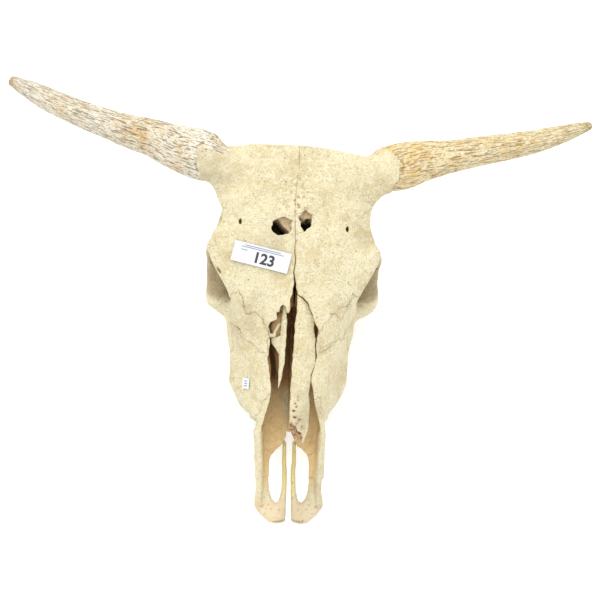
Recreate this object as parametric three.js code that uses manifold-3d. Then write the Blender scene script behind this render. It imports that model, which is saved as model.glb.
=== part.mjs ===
// A cow's skull without its lower jaw: bleached bone with bare horn cores, at life size, lying as it
// rests on its rear cheek teeth and the tips of its jugular processes.
//
// It is shaped lying along its own brow: X runs to the animal's left, Y from the tip of the muzzle
// to the poll, and Z out of the forehead, with Z = 0 at the plane of the nose and brow. At the end
// the whole skull is turned to its resting tilt. All sizes are millimetres.
import * as THREE from "three";
import { mergeVertices } from "three/addons/utils/BufferGeometryUtils.js";
import Module from "manifold-3d";

const wasm = await Module();
wasm.setup();

// ---------------------------------------------------------------- driving dimensions
const REST_TILT = THREE.MathUtils.degToRad(8.9); // slope of the brow when the skull rests
const FOOT_TRIM = 1.2; // worn flats on the teeth and process tips that carry the skull
const SUTURE = 0.35; // clear gap along every seam between two bones
const MIDLINE = 0.2; // half the gap between paired bones
const MUZZLE_GAP = 2.2; // half the open gap between the two incisive bones
const BODY_CORNERS = 24; // corners of a section of the skull body
const HOLLOW_CORNERS = 16; // corners of a section of the hollow nose
const HORN_SIDES = 14; // sides of a horn core
const FAR = 600; // reach of a cutter that has to pass through everything
const LEFT = 1;
const RIGHT = -1;

// ---------------------------------------------------------------- solids from geometry
function solidOf(geometry) {
  const bare = geometry.index ? geometry.toNonIndexed() : geometry.clone();
  const merged = mergeVertices(
    new THREE.BufferGeometry().setAttribute("position", bare.getAttribute("position")),
    1e-3,
  );
  const triVerts = new Uint32Array(merged.index.array);
  const vertProperties = merged.attributes.position.array;
  const made = new wasm.Manifold(new wasm.Mesh({ numProp: 3, vertProperties, triVerts }));
  if (made.volume() > 0) return made;
  for (let i = 0; i < triVerts.length; i += 3)
    [triVerts[i + 1], triVerts[i + 2]] = [triVerts[i + 2], triVerts[i + 1]];
  return new wasm.Manifold(new wasm.Mesh({ numProp: 3, vertProperties, triVerts }));
}

function geometryOf(solid) {
  const mesh = solid.getMesh();
  const corners = new Float32Array(mesh.numVert * 3);
  for (let i = 0; i < mesh.numVert; i++)
    corners.set(mesh.vertProperties.subarray(i * mesh.numProp, i * mesh.numProp + 3), i * 3);
  return new THREE.BufferGeometry()
    .setAttribute("position", new THREE.BufferAttribute(corners, 3))
    .setIndex(new THREE.BufferAttribute(mesh.triVerts, 1));
}

const join = (solids) => solids.reduce((all, next) => all.add(next));

function largest(solid) {
  return solid.decompose().reduce((a, b) => (a.volume() > b.volume() ? a : b));
}

// A skin over a row of rings with equal counts of corners, closed with a fan at each end.
function loft(rings) {
  const count = rings[0].length;
  const centre = (ring) =>
    ring.reduce((sum, p) => sum.add(p), new THREE.Vector3()).divideScalar(count);
  const corners = [...rings.flat(), centre(rings[0]), centre(rings[rings.length - 1])];
  const first = corners.length - 2;
  const faces = [];
  for (let j = 0; j < count; j++) {
    const k = (j + 1) % count;
    for (let i = 0; i + 1 < rings.length; i++) {
      const [a, b, c, d] = [i * count + j, i * count + k, (i + 1) * count + k, (i + 1) * count + j];
      faces.push(a, b, c, a, c, d);
    }
    const last = (rings.length - 1) * count;
    faces.push(first, k, j, first + 1, last + j, last + k);
  }
  return solidOf(new THREE.BufferGeometry().setFromPoints(corners).setIndex(faces));
}

// Sections of a body across Y. Each row is [y, lean, [x, z], [x, z], ...] down its left side from
// the top of the midline to the bottom; lean moves a corner back by that share of its height.
// Each section is a smooth closed curve through its corners and their mirror images.
function sectionedBody(rows, ringCorners) {
  const rings = rows.map(([y, lean, ...half]) => {
    const corner = ([x, z], side) => new THREE.Vector3(side * x, y + lean * z, z);
    const down = half.map((at) => corner(at, LEFT));
    const up = half.slice(1, -1).reverse().map((at) => corner(at, RIGHT));
    const around = new THREE.CatmullRomCurve3([...down, ...up], true, "centripetal");
    return around.getPoints(ringCorners).slice(0, ringCorners);
  });
  return loft(rings);
}

// A rounded bar along a spine. Each row is [x, y, z, half width, half height]; the height lies
// towards up, and side mirrors the bar to the other side of the skull.
function bar(rows, side, { up = [0, 0, 1], sides = 8, steps = 2 } = {}) {
  const spine = new THREE.CatmullRomCurve3(
    rows.map(([x, y, z]) => new THREE.Vector3(side * x, y, z)),
    false,
    "centripetal",
  );
  const sizes = new THREE.CatmullRomCurve3(
    rows.map(([, , , w, h]) => new THREE.Vector3(w, h, 0)),
    false,
    "centripetal",
  );
  const upward = new THREE.Vector3(side * up[0], up[1], up[2]);
  const count = (rows.length - 1) * steps;
  const rings = [];
  for (let r = 0; r <= count; r++) {
    const t = r / count;
    const along = spine.getTangent(t);
    const across = new THREE.Vector3().crossVectors(along, upward).normalize();
    const over = new THREE.Vector3().crossVectors(across, along).normalize();
    const size = sizes.getPoint(t);
    const ring = [];
    for (let j = 0; j < sides; j++) {
      const angle = (2 * Math.PI * j) / sides;
      ring.push(
        spine
          .getPoint(t)
          .addScaledVector(across, size.x * Math.cos(angle))
          .addScaledVector(over, size.y * Math.sin(angle)),
      );
    }
    rings.push(ring);
  }
  return loft(rings);
}

// An egg: centre, half sizes, and turns about X, Y and Z in degrees.
function egg(centre, half, side, turn = [0, 0, 0]) {
  const [tx, ty, tz] = turn.map(THREE.MathUtils.degToRad);
  const geometry = new THREE.SphereGeometry(1, 12, 8);
  geometry.scale(...half);
  const turned = new THREE.Euler(tx, side * ty, side * tz);
  geometry.applyMatrix4(new THREE.Matrix4().makeRotationFromEuler(turned));
  geometry.translate(side * centre[0], centre[1], centre[2]);
  return solidOf(geometry);
}

// A block cut from an outline seen from above, [x, y], between two heights.
function planBlock(outline, side, low = -FAR, high = FAR) {
  const shape = new THREE.Shape(outline.map(([x, y]) => new THREE.Vector2(side * x, y)));
  const geometry = new THREE.ExtrudeGeometry(shape, { depth: high - low, bevelEnabled: false });
  return solidOf(geometry.translate(0, 0, low));
}

// A block cut from an outline seen from the side, [y, z], between two distances from the midline.
function sideBlock(outline, side, inner, outer) {
  const shape = new THREE.Shape(outline.map(([y, z]) => new THREE.Vector2(y, z)));
  const geometry = new THREE.ExtrudeGeometry(shape, { depth: outer - inner, bevelEnabled: false });
  geometry.applyMatrix4(
    new THREE.Matrix4().makeBasis(
      new THREE.Vector3(0, 1, 0),
      new THREE.Vector3(0, 0, 1),
      new THREE.Vector3(1, 0, 0),
    ),
  );
  return solidOf(geometry.translate(side > 0 ? inner : -outer, 0, 0));
}

// The same outline moved outwards by a distance, corner by corner.
function grown(outline, by) {
  const turning = outline.reduce((sum, [x, y], i) => {
    const [u, v] = outline[(i + 1) % outline.length];
    return sum + x * v - u * y;
  }, 0);
  const out = Math.sign(turning) * by;
  return outline.map(([x, y], i) => {
    const [px, py] = outline[(i + outline.length - 1) % outline.length];
    const [nx, ny] = outline[(i + 1) % outline.length];
    const before = new THREE.Vector2(x - px, y - py).normalize();
    const after = new THREE.Vector2(nx - x, ny - y).normalize();
    const normal = new THREE.Vector2(before.y + after.y, -before.x - after.x).normalize();
    const reach = out / Math.max(0.4, normal.dot(new THREE.Vector2(after.y, -after.x)));
    return [x + normal.x * reach, y + normal.y * reach];
  });
}

// ---------------------------------------------------------------- the skull, whole
// Outline columns: crest, crown, rim, wall, cheek, tooth edge, vault, keel.
const SKULL_SECTIONS = [
  [70, 0, [0, -16], [18, -19], [34, -34], [45, -47], [44, -57], [38, -64], [22, -63], [0, -61]],
  [100, 0, [0, -8], [20, -11], [36, -29], [46.5, -47], [46, -62], [40, -71], [26, -68], [0, -66]],
  [122, 0, [0, -7], [20, -10], [37, -25], [47, -46], [49, -64], [44, -80], [32, -76], [0, -71]],
  [136, 0, [0, -7], [21, -10], [37, -24], [49, -46], [59, -70], [53, -88], [34, -80], [0, -74]],
  [152, 0, [0, -6], [21, -9], [38, -23], [54, -46], [69, -76], [58, -94], [38, -85], [0, -79]],
  [166, 0, [0, -5], [23, -8], [41, -22], [57, -48], [76, -78], [60, -99], [38, -89], [0, -84]],
  [208, 0, [0, -2], [26, -5], [48, -21], [65, -48], [77, -78], [63, -112], [38, -99], [0, -96]],
  [234, 0, [0, 0], [30, -2], [56, -17], [74, -46], [83, -77], [62, -120], [36, -108], [0, -104]],
  [256, 0, [0, 3], [38, 0], [64, -14], [80, -44], [82, -80], [56, -120], [30, -112], [0, -103]],
  [282, 0, [0, 5], [50, 3], [81, -10], [76, -44], [68, -84], [38, -112], [20, -108], [0, -98]],
  [334, 0, [0, 8], [66, 5], [107, -17], [72, -46], [54, -82], [38, -108], [22, -110], [0, -104]],
  [382, 0, [0, 7], [60, 4], [93.5, -22], [70, -52], [64, -88], [48, -117], [24, -122], [0, -118]],
  [412, 0, [0, 4], [62, 1], [104, -24], [84, -56], [88, -92], [62, -124], [28, -132], [0, -131]],
  [440, 0.1, [0, 0], [64, -3], [96, -24], [86, -56], [84, -92], [56, -128], [28, -136], [0, -133]],
  [459, 0.2, [0, -8], [60, -11], [80, -26], [74, -52], [66, -84], [44, -118], [22, -132], [0, -126]],
];

// Hollow of the nose, from its open front back to the ethmoid.
const NASAL_HOLLOW = [
  [60, 0, [0, 30], [20, 30], [27, -26], [28, -40], [25, -52], [12, -54], [0, -54]],
  [96, 0, [0, 30], [20, 30], [28, -26], [30, -42], [28, -57], [13, -60], [0, -61]],
  [122, 0, [0, 30], [22, 20], [28, -26], [33, -46], [31, -62], [14, -66], [0, -67]],
  [150, 0, [0, 30], [20, 10], [27, -20], [40, -48], [42, -68], [18, -74], [0, -75]],
  [182, 0, [0, -8], [18, -12], [31, -24], [45, -54], [46, -78], [20, -84], [0, -84]],
  [215, 0, [0, -6], [20, -9], [34, -24], [48, -56], [46, -84], [20, -92], [0, -92]],
  [246, 0, [0, -6], [20, -10], [36, -24], [44, -52], [40, -80], [18, -94], [0, -94]],
  [268, 0, [0, -20], [10, -22], [18, -32], [22, -50], [18, -68], [8, -74], [0, -76]],
];

// Front of each side: the flat tip of the incisive bone and its wing back to the nose.
const MUZZLE_TIP = [
  [3.2, 6], [5, -7], [15, -10], [24, -9], [36, 1], [43.5, 11], [43.5, 21], [41.8, 32], [42.3, 45],
  [43.5, 60], [45, 74], [26.5, 74], [26, 50], [25, 32], [21.5, 21], [16, 15],
  [12, 18], [9, 30], [8.6, 98], [2.4, 98], [2.2, 30],
];
const MUZZLE_TIP_THICKNESS = 8;
const PALATE_SLOPE = -0.14; // fall of the palate's front part with Y
const PALATE_FRONT_Z = -45; // its upper face at the muzzle tip
const INCISIVE_WING = [
  [38.5, 20, -50, 3.5, 5], [37.5, 34, -50, 4.5, 8], [38, 56, -50, 5, 12],
  [39.5, 82, -48, 5.5, 17], [40, 106, -44, 6, 22],
];
// Front edge of the bony palate behind the openings: a notch on the midline and one on each side.
const PALATE_EDGE = [[-1, 50], [26, 50], [26, 68], [22, 77], [16, 83], [10, 87], [3, 103], [-1, 105]];

// Cheekbone: lower rim of the orbit and the arch behind it; then the strut behind the orbit.
const ORBIT_RIM = [
  [70, 240, -72, 8, 14], [84, 257, -72, 13, 13], [93, 272, -73, 14, 11], [96, 296, -75, 13, 10],
  [98, 320, -79, 12, 10], [100, 350, -89, 6, 9], [93, 376, -99, 6, 9], [80, 398, -102, 10, 10],
];
const ORBIT_STRUT = [
  [97, 337, -16, 12, 8], [104, 335, -33, 6, 8], [106, 329, -56, 5, 9], [103, 322, -80, 5, 10],
];
const ORBIT_HOLLOW = { centre: [95, 304, -45], half: [48, 31, 28], turn: [0, 0, 12] };

// Back of the skull.
const CONDYLE = { centre: [28, 422, -130], half: [18, 17, 22], turn: [24, 0, -16] };
const JUGULAR_PROCESS = [
  [60, 410, -108, 13, 17], [61, 402, -130, 9, 15], [59, 393, -150, 6, 11], [56, 386, -168, 4, 6],
];
const EAR_BULLA = [[50, 378, -104, 11, 13], [46, 368, -120, 8, 12], [41, 357, -136, 4, 6]];
const EAR_CANAL = [[62, 386, -98, 10, 10], [84, 392, -92, 8, 8]];
const PTERYGOID = [
  [19, 262, -110, 3.5, 14], [20, 286, -114, 3, 17], [23, 312, -104, 4, 14], [26, 332, -100, 6, 12],
];
const NECK_HOLLOW = { centre: [0, 462, -66], half: [46, 20, 30] };
const SPINAL_HOLE = { radius: 17, z: -107, from: 392, to: 470 };

// Holes in the brow: two bored ones near the midline and the small vessel openings.
const BROW_HOLES = [
  { side: RIGHT, x: 18.6, y: 361, half: [11, 8.4], turn: 12 },
  { side: LEFT, x: 9.8, y: 369, half: [7.6, 13.4], turn: 8 },
  { side: RIGHT, x: 68.4, y: 367, half: [2.4, 4.5], turn: 10 },
  { side: LEFT, x: 61.8, y: 359.6, half: [2.2, 4.4], turn: 0 },
];
const BROW_HOLE_DEPTH = 26;
const HOLE_SIDES = 12;

// Cheek teeth, front to back: length along the jaw, width, and place of each tooth's front edge.
const TEETH = [
  { y: 122, x: 48, long: 14, wide: 14 },
  { y: 136, x: 50, long: 17, wide: 17 },
  { y: 153, x: 51.5, long: 18, wide: 19 },
  { y: 171, x: 52, long: 23, wide: 21 },
  { y: 194, x: 51, long: 26, wide: 22 },
  { y: 220, x: 49, long: 28, wide: 21 },
];
const BITE_SLOPE = -0.384; // fall of the biting plane with Y
const BITE_Z = -52.6; // the biting plane where it would meet Y = 0
const TOOTH_ROOT = 34; // height of a tooth block above the biting plane
const TOOTH_CORNER = 3; // rounding of a tooth's corners
const TOOTH_CLEAR = 0.3; // gap left at each end of a tooth
const TOOTH_SPLAY = 0.16; // how far the crowns spread outwards towards the bite
const BITE_SPREAD = 0.93; // width of the biting face against the crown's

// Horn cores, from inside the skull to the tip: [x, y, z, half width, half height].
const HORNS = {
  [LEFT]: [
    [62, 424, -26, 25, 22], [88, 430, -26, 27, 24], [102, 436, -25, 29.5, 26],
    [127, 441, -22, 29, 25], [156, 449, -17, 25, 23], [185, 454.3, -12, 21.2, 20.5],
    [214, 459.4, -6, 18.8, 18.5], [242, 464, 0, 16.9, 16.6], [271, 469.6, 6, 15, 14.8],
    [299, 476.5, 12, 13.1, 12.8], [330, 485.5, 18, 9.5, 9.5], [356, 494, 23, 4.5, 4.5],
  ],
  [RIGHT]: [
    [62, 426, -26, 25, 22], [88, 434, -26, 27, 24], [104, 442, -25, 30, 26],
    [121, 448, -23, 29.8, 26], [150, 457.6, -18, 26, 24], [179, 467, -12, 22.5, 22],
    [208, 473.8, -6, 19.5, 19], [236, 482, 0, 17.7, 17.4], [264, 490.8, 6, 15.9, 15.6],
    [292, 501.4, 11, 14.1, 13.8], [320, 514, 17, 11.6, 11.2], [346, 526.5, 21, 5.4, 5.4],
  ],
};

// Open roof of the nose, where the two nasal bones lie: [x, y] down its edge on each side.
const NASAL_ROOF = { back: 277, front: 146, low: -16 };
const NASAL_EDGE = {
  [LEFT]: [[8, 277], [19, 262], [23.5, 243], [27.5, 218], [25, 182], [22, 155], [23, 146]],
  [RIGHT]: [
    [9, 278], [14, 274], [22.6, 259], [33, 242], [29, 222], [31.5, 205], [28, 180], [26.5, 164],
    [25, 150], [23, 146],
  ],
};
// Side view of the notch in front of the nasal bones, above the incisive wings: [y, z].
const NOSE_NOTCH = [
  [20, 60], [152, 60], [152, -10], [136, -17], [110, -22], [80, -30], [50, -37], [20, -40],
];

function rawSkull() {
  const halves = [LEFT, RIGHT];
  const mass = [sectionedBody(SKULL_SECTIONS, BODY_CORNERS)];
  for (const side of halves) {
    mass.push(bar(INCISIVE_WING, side));
    mass.push(bar(ORBIT_RIM, side));
    mass.push(bar(JUGULAR_PROCESS, side, { up: [0, 1, 0] }));
    mass.push(bar(EAR_CANAL, side));
    mass.push(egg(CONDYLE.centre, CONDYLE.half, side, CONDYLE.turn));
    mass.push(bar(EAR_BULLA, side, { up: [0, 1, 0] }));
    mass.push(bar(HORNS[side], side, { sides: HORN_SIDES, steps: 1 }));
  }
  const hollows = [
    sectionedBody(NASAL_HOLLOW, HOLLOW_CORNERS),
    sideBlock(NOSE_NOTCH, LEFT, -FAR, FAR),
  ];
  hollows.push(...halves.map((side) => planBlock(PALATE_EDGE, side)));
  hollows.push(egg(NECK_HOLLOW.centre, NECK_HOLLOW.half, LEFT));
  hollows.push(spinalHole());
  for (const side of halves) {
    hollows.push(egg(ORBIT_HOLLOW.centre, ORBIT_HOLLOW.half, side, ORBIT_HOLLOW.turn));
    const roof = [[-1, NASAL_ROOF.back], ...NASAL_EDGE[side], [-1, NASAL_ROOF.front]];
    hollows.push(planBlock(roof, side, NASAL_ROOF.low));
  }
  hollows.push(...BROW_HOLES.map(browHole));
  const bones = join(mass).subtract(join(hollows));
  const added = [];
  for (const side of halves) {
    added.push(muzzleTip(side));
    added.push(bar(ORBIT_STRUT, side, { up: [0, 1, 0] }));
    added.push(bar(PTERYGOID, side));
    added.push(...TEETH.map((tooth) => toothBlock(tooth, side)));
  }
  return bones.add(join(added));
}

function spinalHole() {
  const { radius, z, from, to } = SPINAL_HOLE;
  const geometry = new THREE.CylinderGeometry(radius, radius, to - from, HOLE_SIDES);
  return solidOf(geometry.translate(0, (from + to) / 2, z));
}

function browHole({ side, x, y, half, turn }) {
  const geometry = new THREE.CylinderGeometry(1, 1, 2 * BROW_HOLE_DEPTH, HOLE_SIDES);
  geometry.rotateX(Math.PI / 2);
  geometry.scale(half[0], half[1], 1);
  geometry.rotateZ(THREE.MathUtils.degToRad(side * turn));
  return solidOf(geometry.translate(side * x, y, 0));
}

function muzzleTip(side) {
  const shape = new THREE.Shape(MUZZLE_TIP.map(([x, y]) => new THREE.Vector2(side * x, y)));
  const geometry = new THREE.ExtrudeGeometry(shape, { depth: MUZZLE_TIP_THICKNESS, bevelEnabled: false });
  const at = geometry.getAttribute("position");
  for (let i = 0; i < at.count; i++)
    at.setZ(i, at.getZ(i) - MUZZLE_TIP_THICKNESS + PALATE_FRONT_Z + PALATE_SLOPE * at.getY(i));
  return solidOf(geometry);
}

// One cheek tooth: a rounded block, narrower at the biting face, standing square to the bite.
function toothBlock({ x, y, long, wide }, side) {
  const c = TOOTH_CORNER;
  const [w, l] = [wide / 2, long / 2 - TOOTH_CLEAR];
  const outline = [
    [w, l - c], [w - c, l], [c - w, l], [-w, l - c],
    [-w, c - l], [c - w, -l], [w - c, -l], [w, c - l],
  ];
  const middle = y + long / 2;
  const ring = (height, spread) =>
    outline.map(([u, v]) => {
      const across = x - TOOTH_SPLAY * height + u * spread;
      const along = middle + v - height * BITE_SLOPE;
      const up = BITE_Z + BITE_SLOPE * (middle + v) + height;
      return new THREE.Vector3(side * across, along, up);
    });
  return loft([ring(0, BITE_SPREAD), ring(TOOTH_CORNER, 1), ring(TOOTH_ROOT, 1)]);
}

// ---------------------------------------------------------------- parting into bones
// Each bone is what a block cuts from what is left of the skull; a seam stays clear around it.
const HORN_PLAN = [[103, 480], [110, 446], [115, 400], [420, 400], [420, 600], [103, 600]];
const INCISIVE_SIDE = [
  [-20, 40], [-20, -90], [66, -90], [76, -58], [104, -50], [126, -36], [154, -14], [154, 40],
];
const CHEEKBONE_SIDE = [
  [205, -92], [208, -62], [228, -50], [262, -54], [276, -62], [300, -66], [318, -62], [322, -52],
  [348, -52], [362, -84], [362, -116], [320, -116], [268, -94], [232, -94],
];
const TEMPORAL_SIDE = [
  [338, -74], [350, -58], [402, -60], [402, -112], [372, -146], [350, -146], [338, -112],
];
const LACRIMAL_PLAN = [
  [26, 226], [31, 238], [42, 262], [61, 285], [86, 274], [86, 246], [62, 232], [60, 222],
];
const FRONTAL_SIDE = [
  [232, 40], [232, -38], [262, -50], [300, -54], [345, -52], [400, -58], [480, -52], [480, 40],
];
const OCCIPITAL_SIDE = [
  [402, -58], [402, -112], [376, -120], [376, -190], [500, -190], [500, -51],
];
const MAXILLA_SIDE = [
  [60, 40], [60, -190], [262, -190], [266, -112], [262, -50], [240, 0], [240, 40],
];
const PALATINE_SIDE = [[226, -92], [292, -92], [292, -150], [226, -150]];
const PALATINE_HALF_WIDTH = 33;
// How far to the side the cut of a bone starts and ends.
const SKULL_REACH = 130;
const INCISIVE_REACH = 90;
const CHEEKBONE_FROM = 60;
const TEMPORAL_FROM = 36;
const LACRIMAL_FLOOR = -60;

function partIntoBones(skull) {
  const bones = new Map();
  let rest = skull;
  const take = (name, block, clearBlock) => {
    bones.set(name, largest(rest.intersect(block)));
    rest = rest.subtract(clearBlock);
  };
  const takePlan = (name, outline, side, low) =>
    take(
      name,
      planBlock(outline, side, low),
      planBlock(grown(outline, SUTURE), side, low - SUTURE),
    );
  const takeSide = (name, outline, side, inner, outer) =>
    take(
      name,
      sideBlock(outline, side, inner, outer),
      sideBlock(grown(outline, SUTURE), side, inner - 2 * Math.min(Math.abs(inner), SUTURE), outer),
    );
  for (const side of [LEFT, RIGHT]) {
    const called = (bone) => bone + (side === LEFT ? "_left" : "_right");
    takePlan(called("horn_core"), HORN_PLAN, side, -FAR);
    takeSide(called("incisive"), INCISIVE_SIDE, side, MUZZLE_GAP, INCISIVE_REACH);
    takeSide(called("cheekbone"), CHEEKBONE_SIDE, side, CHEEKBONE_FROM, SKULL_REACH);
    takeSide(called("temporal"), TEMPORAL_SIDE, side, TEMPORAL_FROM, SKULL_REACH);
    takePlan(called("lacrimal"), LACRIMAL_PLAN, side, LACRIMAL_FLOOR);
    takeSide(called("frontal"), FRONTAL_SIDE, side, MIDLINE, SKULL_REACH);
    takeSide(called("palatine"), PALATINE_SIDE, side, MIDLINE, PALATINE_HALF_WIDTH);
    takeSide(called("maxilla"), MAXILLA_SIDE, side, MIDLINE, SKULL_REACH);
  }
  takeSide("occipital", OCCIPITAL_SIDE, LEFT, -SKULL_REACH, SKULL_REACH);
  bones.set("sphenoid", largest(rest));
  return bones;
}

// ---------------------------------------------------------------- bones made apart
// Sections of a thin bone across Y: [y, inner x, outer x, z of the inner edge, z of the outer].
const LEFT_NASAL = [
  [274, 2.5, 6, 2, 1], [262, 1, 18, 2, -1], [243, 0.5, 22.5, 1, -4], [218, -0.5, 26.5, 0, -6],
  [182, -1.2, 24, -3, -9], [155, -1.8, 21, -5, -11], [126, -2.6, 19.5, -7, -13], [114, -2.5, 18, -8, -13.5],
  [107, 4, 16, -10, -13.5], [98, 11.5, 13.5, -12.5, -13.5],
];
const RIGHT_NASAL_SPLINTER = [
  [268, 10, 14, -4, -5], [254, 9, 16.4, -4, -6], [238, 9.2, 19, -4, -8], [223, 9.6, 20, -4, -8],
  [212, 10.8, 21, -4, -8], [199, 12.7, 18.8, -4, -7], [180, 15, 18.6, -5, -7], [163, 17.6, 18.9, -6, -7],
];
const NASAL_THICKNESS = 4.5;
const SPLINTER_THICKNESS = 3;
const NASAL_CROWN = 0.2; // rise of the middle of a thin bone, as a share of its width

function thinBone(rows, side, thickness) {
  const rings = rows.map(([y, inner, outer, zInner, zOuter]) => {
    const upper = [0, 0.25, 0.5, 0.75, 1].map((t) => {
      const rise = NASAL_CROWN * (outer - inner) * t * (1 - t);
      const z = zInner + t * (zOuter - zInner) + rise;
      return new THREE.Vector3(side * (inner + t * (outer - inner)), y, z);
    });
    const lower = upper.map((p) => new THREE.Vector3(p.x, p.y, p.z - thickness)).reverse();
    return [...upper, ...lower];
  });
  return loft(rings);
}

const VOMER = [[0, 112, -60, 3, 4], [0, 150, -66, 3, 7], [0, 196, -74, 3, 10], [0, 236, -79, 3, 9]];
const RIGHT_CONCHA = [
  [15, 252, -26, 5, 5], [19, 240, -26, 7, 7], [19, 224, -28, 7, 8], [19, 206, -30, 5, 7],
  [18, 186, -33, 3, 4],
];

// Paper labels stuck on the bone: centre, size, turn in the plane of the brow and tip about Y.
const LOT_LABEL = { x: -42.5, y: 324.1, z: 8.8, long: 70.5, wide: 24.6, turn: -13, tip: -4 };
const PRICE_LABEL = { x: -57.6, y: 167, z: -44.3, long: 9, wide: 13.4, turn: -2, tip: -58 };
const PAPER_THICKNESS = 0.6;

function paper({ x, y, z, long, wide, turn, tip }) {
  const geometry = new THREE.BoxGeometry(long, wide, PAPER_THICKNESS);
  const [turned, tipped] = [turn, tip].map(THREE.MathUtils.degToRad);
  geometry.rotateZ(turned);
  geometry.rotateY(tipped);
  return solidOf(geometry.translate(x, y, z));
}

// ---------------------------------------------------------------- assembly
const FINISHES = {
  bone: { color: 0xf0e6c6, roughness: 0.75 },
  horn_core: { color: 0xe8dcc0, roughness: 0.85 },
  teeth_bone: { color: 0xe9ddb8, roughness: 0.7 },
  inner_bone: { color: 0xb89a6c, roughness: 0.85 },
  paper: { color: 0xf4f7fa, roughness: 0.6 },
};

function finishOf(name) {
  if (name.startsWith("horn_core")) return FINISHES.horn_core;
  if (name.startsWith("maxilla")) return FINISHES.teeth_bone;
  if (name.startsWith("vomer") || name.startsWith("concha")) return FINISHES.inner_bone;
  if (name.endsWith("label")) return FINISHES.paper;
  return FINISHES.bone;
}

const pieces = partIntoBones(rawSkull());
const loose = {
  nasal_left: thinBone(LEFT_NASAL, LEFT, NASAL_THICKNESS),
  nasal_right: thinBone(RIGHT_NASAL_SPLINTER, RIGHT, SPLINTER_THICKNESS),
  vomer: bar(VOMER, LEFT),
  concha_right: bar(RIGHT_CONCHA, RIGHT),
  lot_label: paper(LOT_LABEL),
  price_label: paper(PRICE_LABEL),
};
for (const [name, solid] of Object.entries(loose)) pieces.set(name, solid);

// Turn the brow to its resting slope, stand the skull on the floor and wear its feet flat.
function rested(solids) {
  const turn = new THREE.Matrix4().makeRotationX(REST_TILT);
  const turned = new Map();
  const box = new THREE.Box3();
  for (const [name, solid] of solids) {
    const geometry = geometryOf(solid).applyMatrix4(turn);
    geometry.computeBoundingBox();
    box.union(geometry.boundingBox);
    turned.set(name, geometry);
  }
  const middle = box.getCenter(new THREE.Vector3());
  const floor = box.min.z + FOOT_TRIM;
  const below = solidOf(new THREE.BoxGeometry(2 * FAR, 2 * FAR, FAR).translate(0, 0, -FAR / 2));
  const feet = new Map();
  for (const [name, geometry] of turned) {
    geometry.translate(-middle.x, -middle.y, -floor);
    feet.set(name, largest(solidOf(geometry).subtract(below)));
  }
  return feet;
}

const skull = new THREE.Group();
for (const [name, solid] of rested(pieces)) {
  const mesh = new THREE.Mesh(geometryOf(solid), new THREE.MeshStandardMaterial(finishOf(name)));
  mesh.name = name;
  skull.add(mesh);
}

export default skull;
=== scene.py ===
import functools
import math

import bpy
import numpy as np
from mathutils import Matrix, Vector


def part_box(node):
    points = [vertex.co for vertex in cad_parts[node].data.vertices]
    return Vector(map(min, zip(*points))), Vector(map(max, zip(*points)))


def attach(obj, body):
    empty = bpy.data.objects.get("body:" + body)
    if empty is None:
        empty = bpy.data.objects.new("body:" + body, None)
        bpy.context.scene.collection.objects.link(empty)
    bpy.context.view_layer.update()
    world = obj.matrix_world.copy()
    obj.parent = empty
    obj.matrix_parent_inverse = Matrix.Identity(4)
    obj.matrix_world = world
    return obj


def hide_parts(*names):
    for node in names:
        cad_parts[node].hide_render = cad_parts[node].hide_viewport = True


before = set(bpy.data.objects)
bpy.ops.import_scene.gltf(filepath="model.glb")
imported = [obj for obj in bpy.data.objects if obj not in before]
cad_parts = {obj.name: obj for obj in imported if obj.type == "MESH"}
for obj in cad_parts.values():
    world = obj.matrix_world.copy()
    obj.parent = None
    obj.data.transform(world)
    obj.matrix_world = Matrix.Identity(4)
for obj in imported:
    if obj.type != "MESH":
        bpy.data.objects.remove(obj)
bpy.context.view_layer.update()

# ---------------------------------------------------------------- the skull's own frame
# A skull is measured lying along its own brow: X to the animal's left, Y from the tip of the
# muzzle to the poll, Z out of the forehead, in millimetres. It rests with the brow sloping, so
# every finished surface is turned by that slope and moved to where the paper label lies.
MM = 0.001
REST_TILT = math.radians(8.9)
LOT_LABEL_CENTRE = np.array([-42.5, 324.1, 8.8])
LEFT, RIGHT = 1, -1
BODY = "root"

turn = np.array([
    [1, 0, 0],
    [0, math.cos(REST_TILT), -math.sin(REST_TILT)],
    [0, math.sin(REST_TILT), math.cos(REST_TILT)],
])
label_low, label_high = (np.array(corner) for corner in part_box("lot_label"))
shift = (label_low + label_high) / 2 - MM * turn @ LOT_LABEL_CENTRE


def at_rest(points):
    """Turns points about X by the resting slope, scales them to metres and shifts them."""
    return points @ turn.T * MM + shift


# ---------------------------------------------------------------- the whole cranium
# A cranium is many bones grown together, hollow in the nose and deeply cut by the orbits and the
# temples. It is worked out here as one distance field in millimetres, negative inside the bone:
# sections along Y, bars and eggs melted together, then hollows carved out.
COARSE = 2.4
EGG_GAP = 2.4  # between the eggs that make up a bar
CRANIUM_LOW = (-126.0, -24.0, -190.0)
CRANIUM_HIGH = (126.0, 486.0, 26.0)
SECTION_STEPS = 6  # points between two corners of a section


class Space:
    """A box of space on a regular grid: three axes of positions, and x, y and z ready to use
    together as one field."""

    def __init__(self, low, high, cell):
        self.cell = cell
        self.axes = [np.arange(a, b + cell, cell, dtype=np.float32) for a, b in zip(low, high)]
        self.x = self.axes[0][:, None, None]
        self.y = self.axes[1][None, :, None]
        self.z = self.axes[2][None, None, :]
        self.shape = tuple(len(axis) for axis in self.axes)

    def part(self, low, high):
        """The slices of the grid that hold the box from low to high."""
        ends = [
            (np.searchsorted(axis, a), np.searchsorted(axis, b))
            for axis, a, b in zip(self.axes, low, high)
        ]
        return tuple(slice(a, max(b, a + 1)) for a, b in ends)

    def cut(self, slices):
        """x, y and z of those slices."""
        i, j, k = slices
        return self.x[i], self.y[:, j], self.z[:, :, k]


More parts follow.
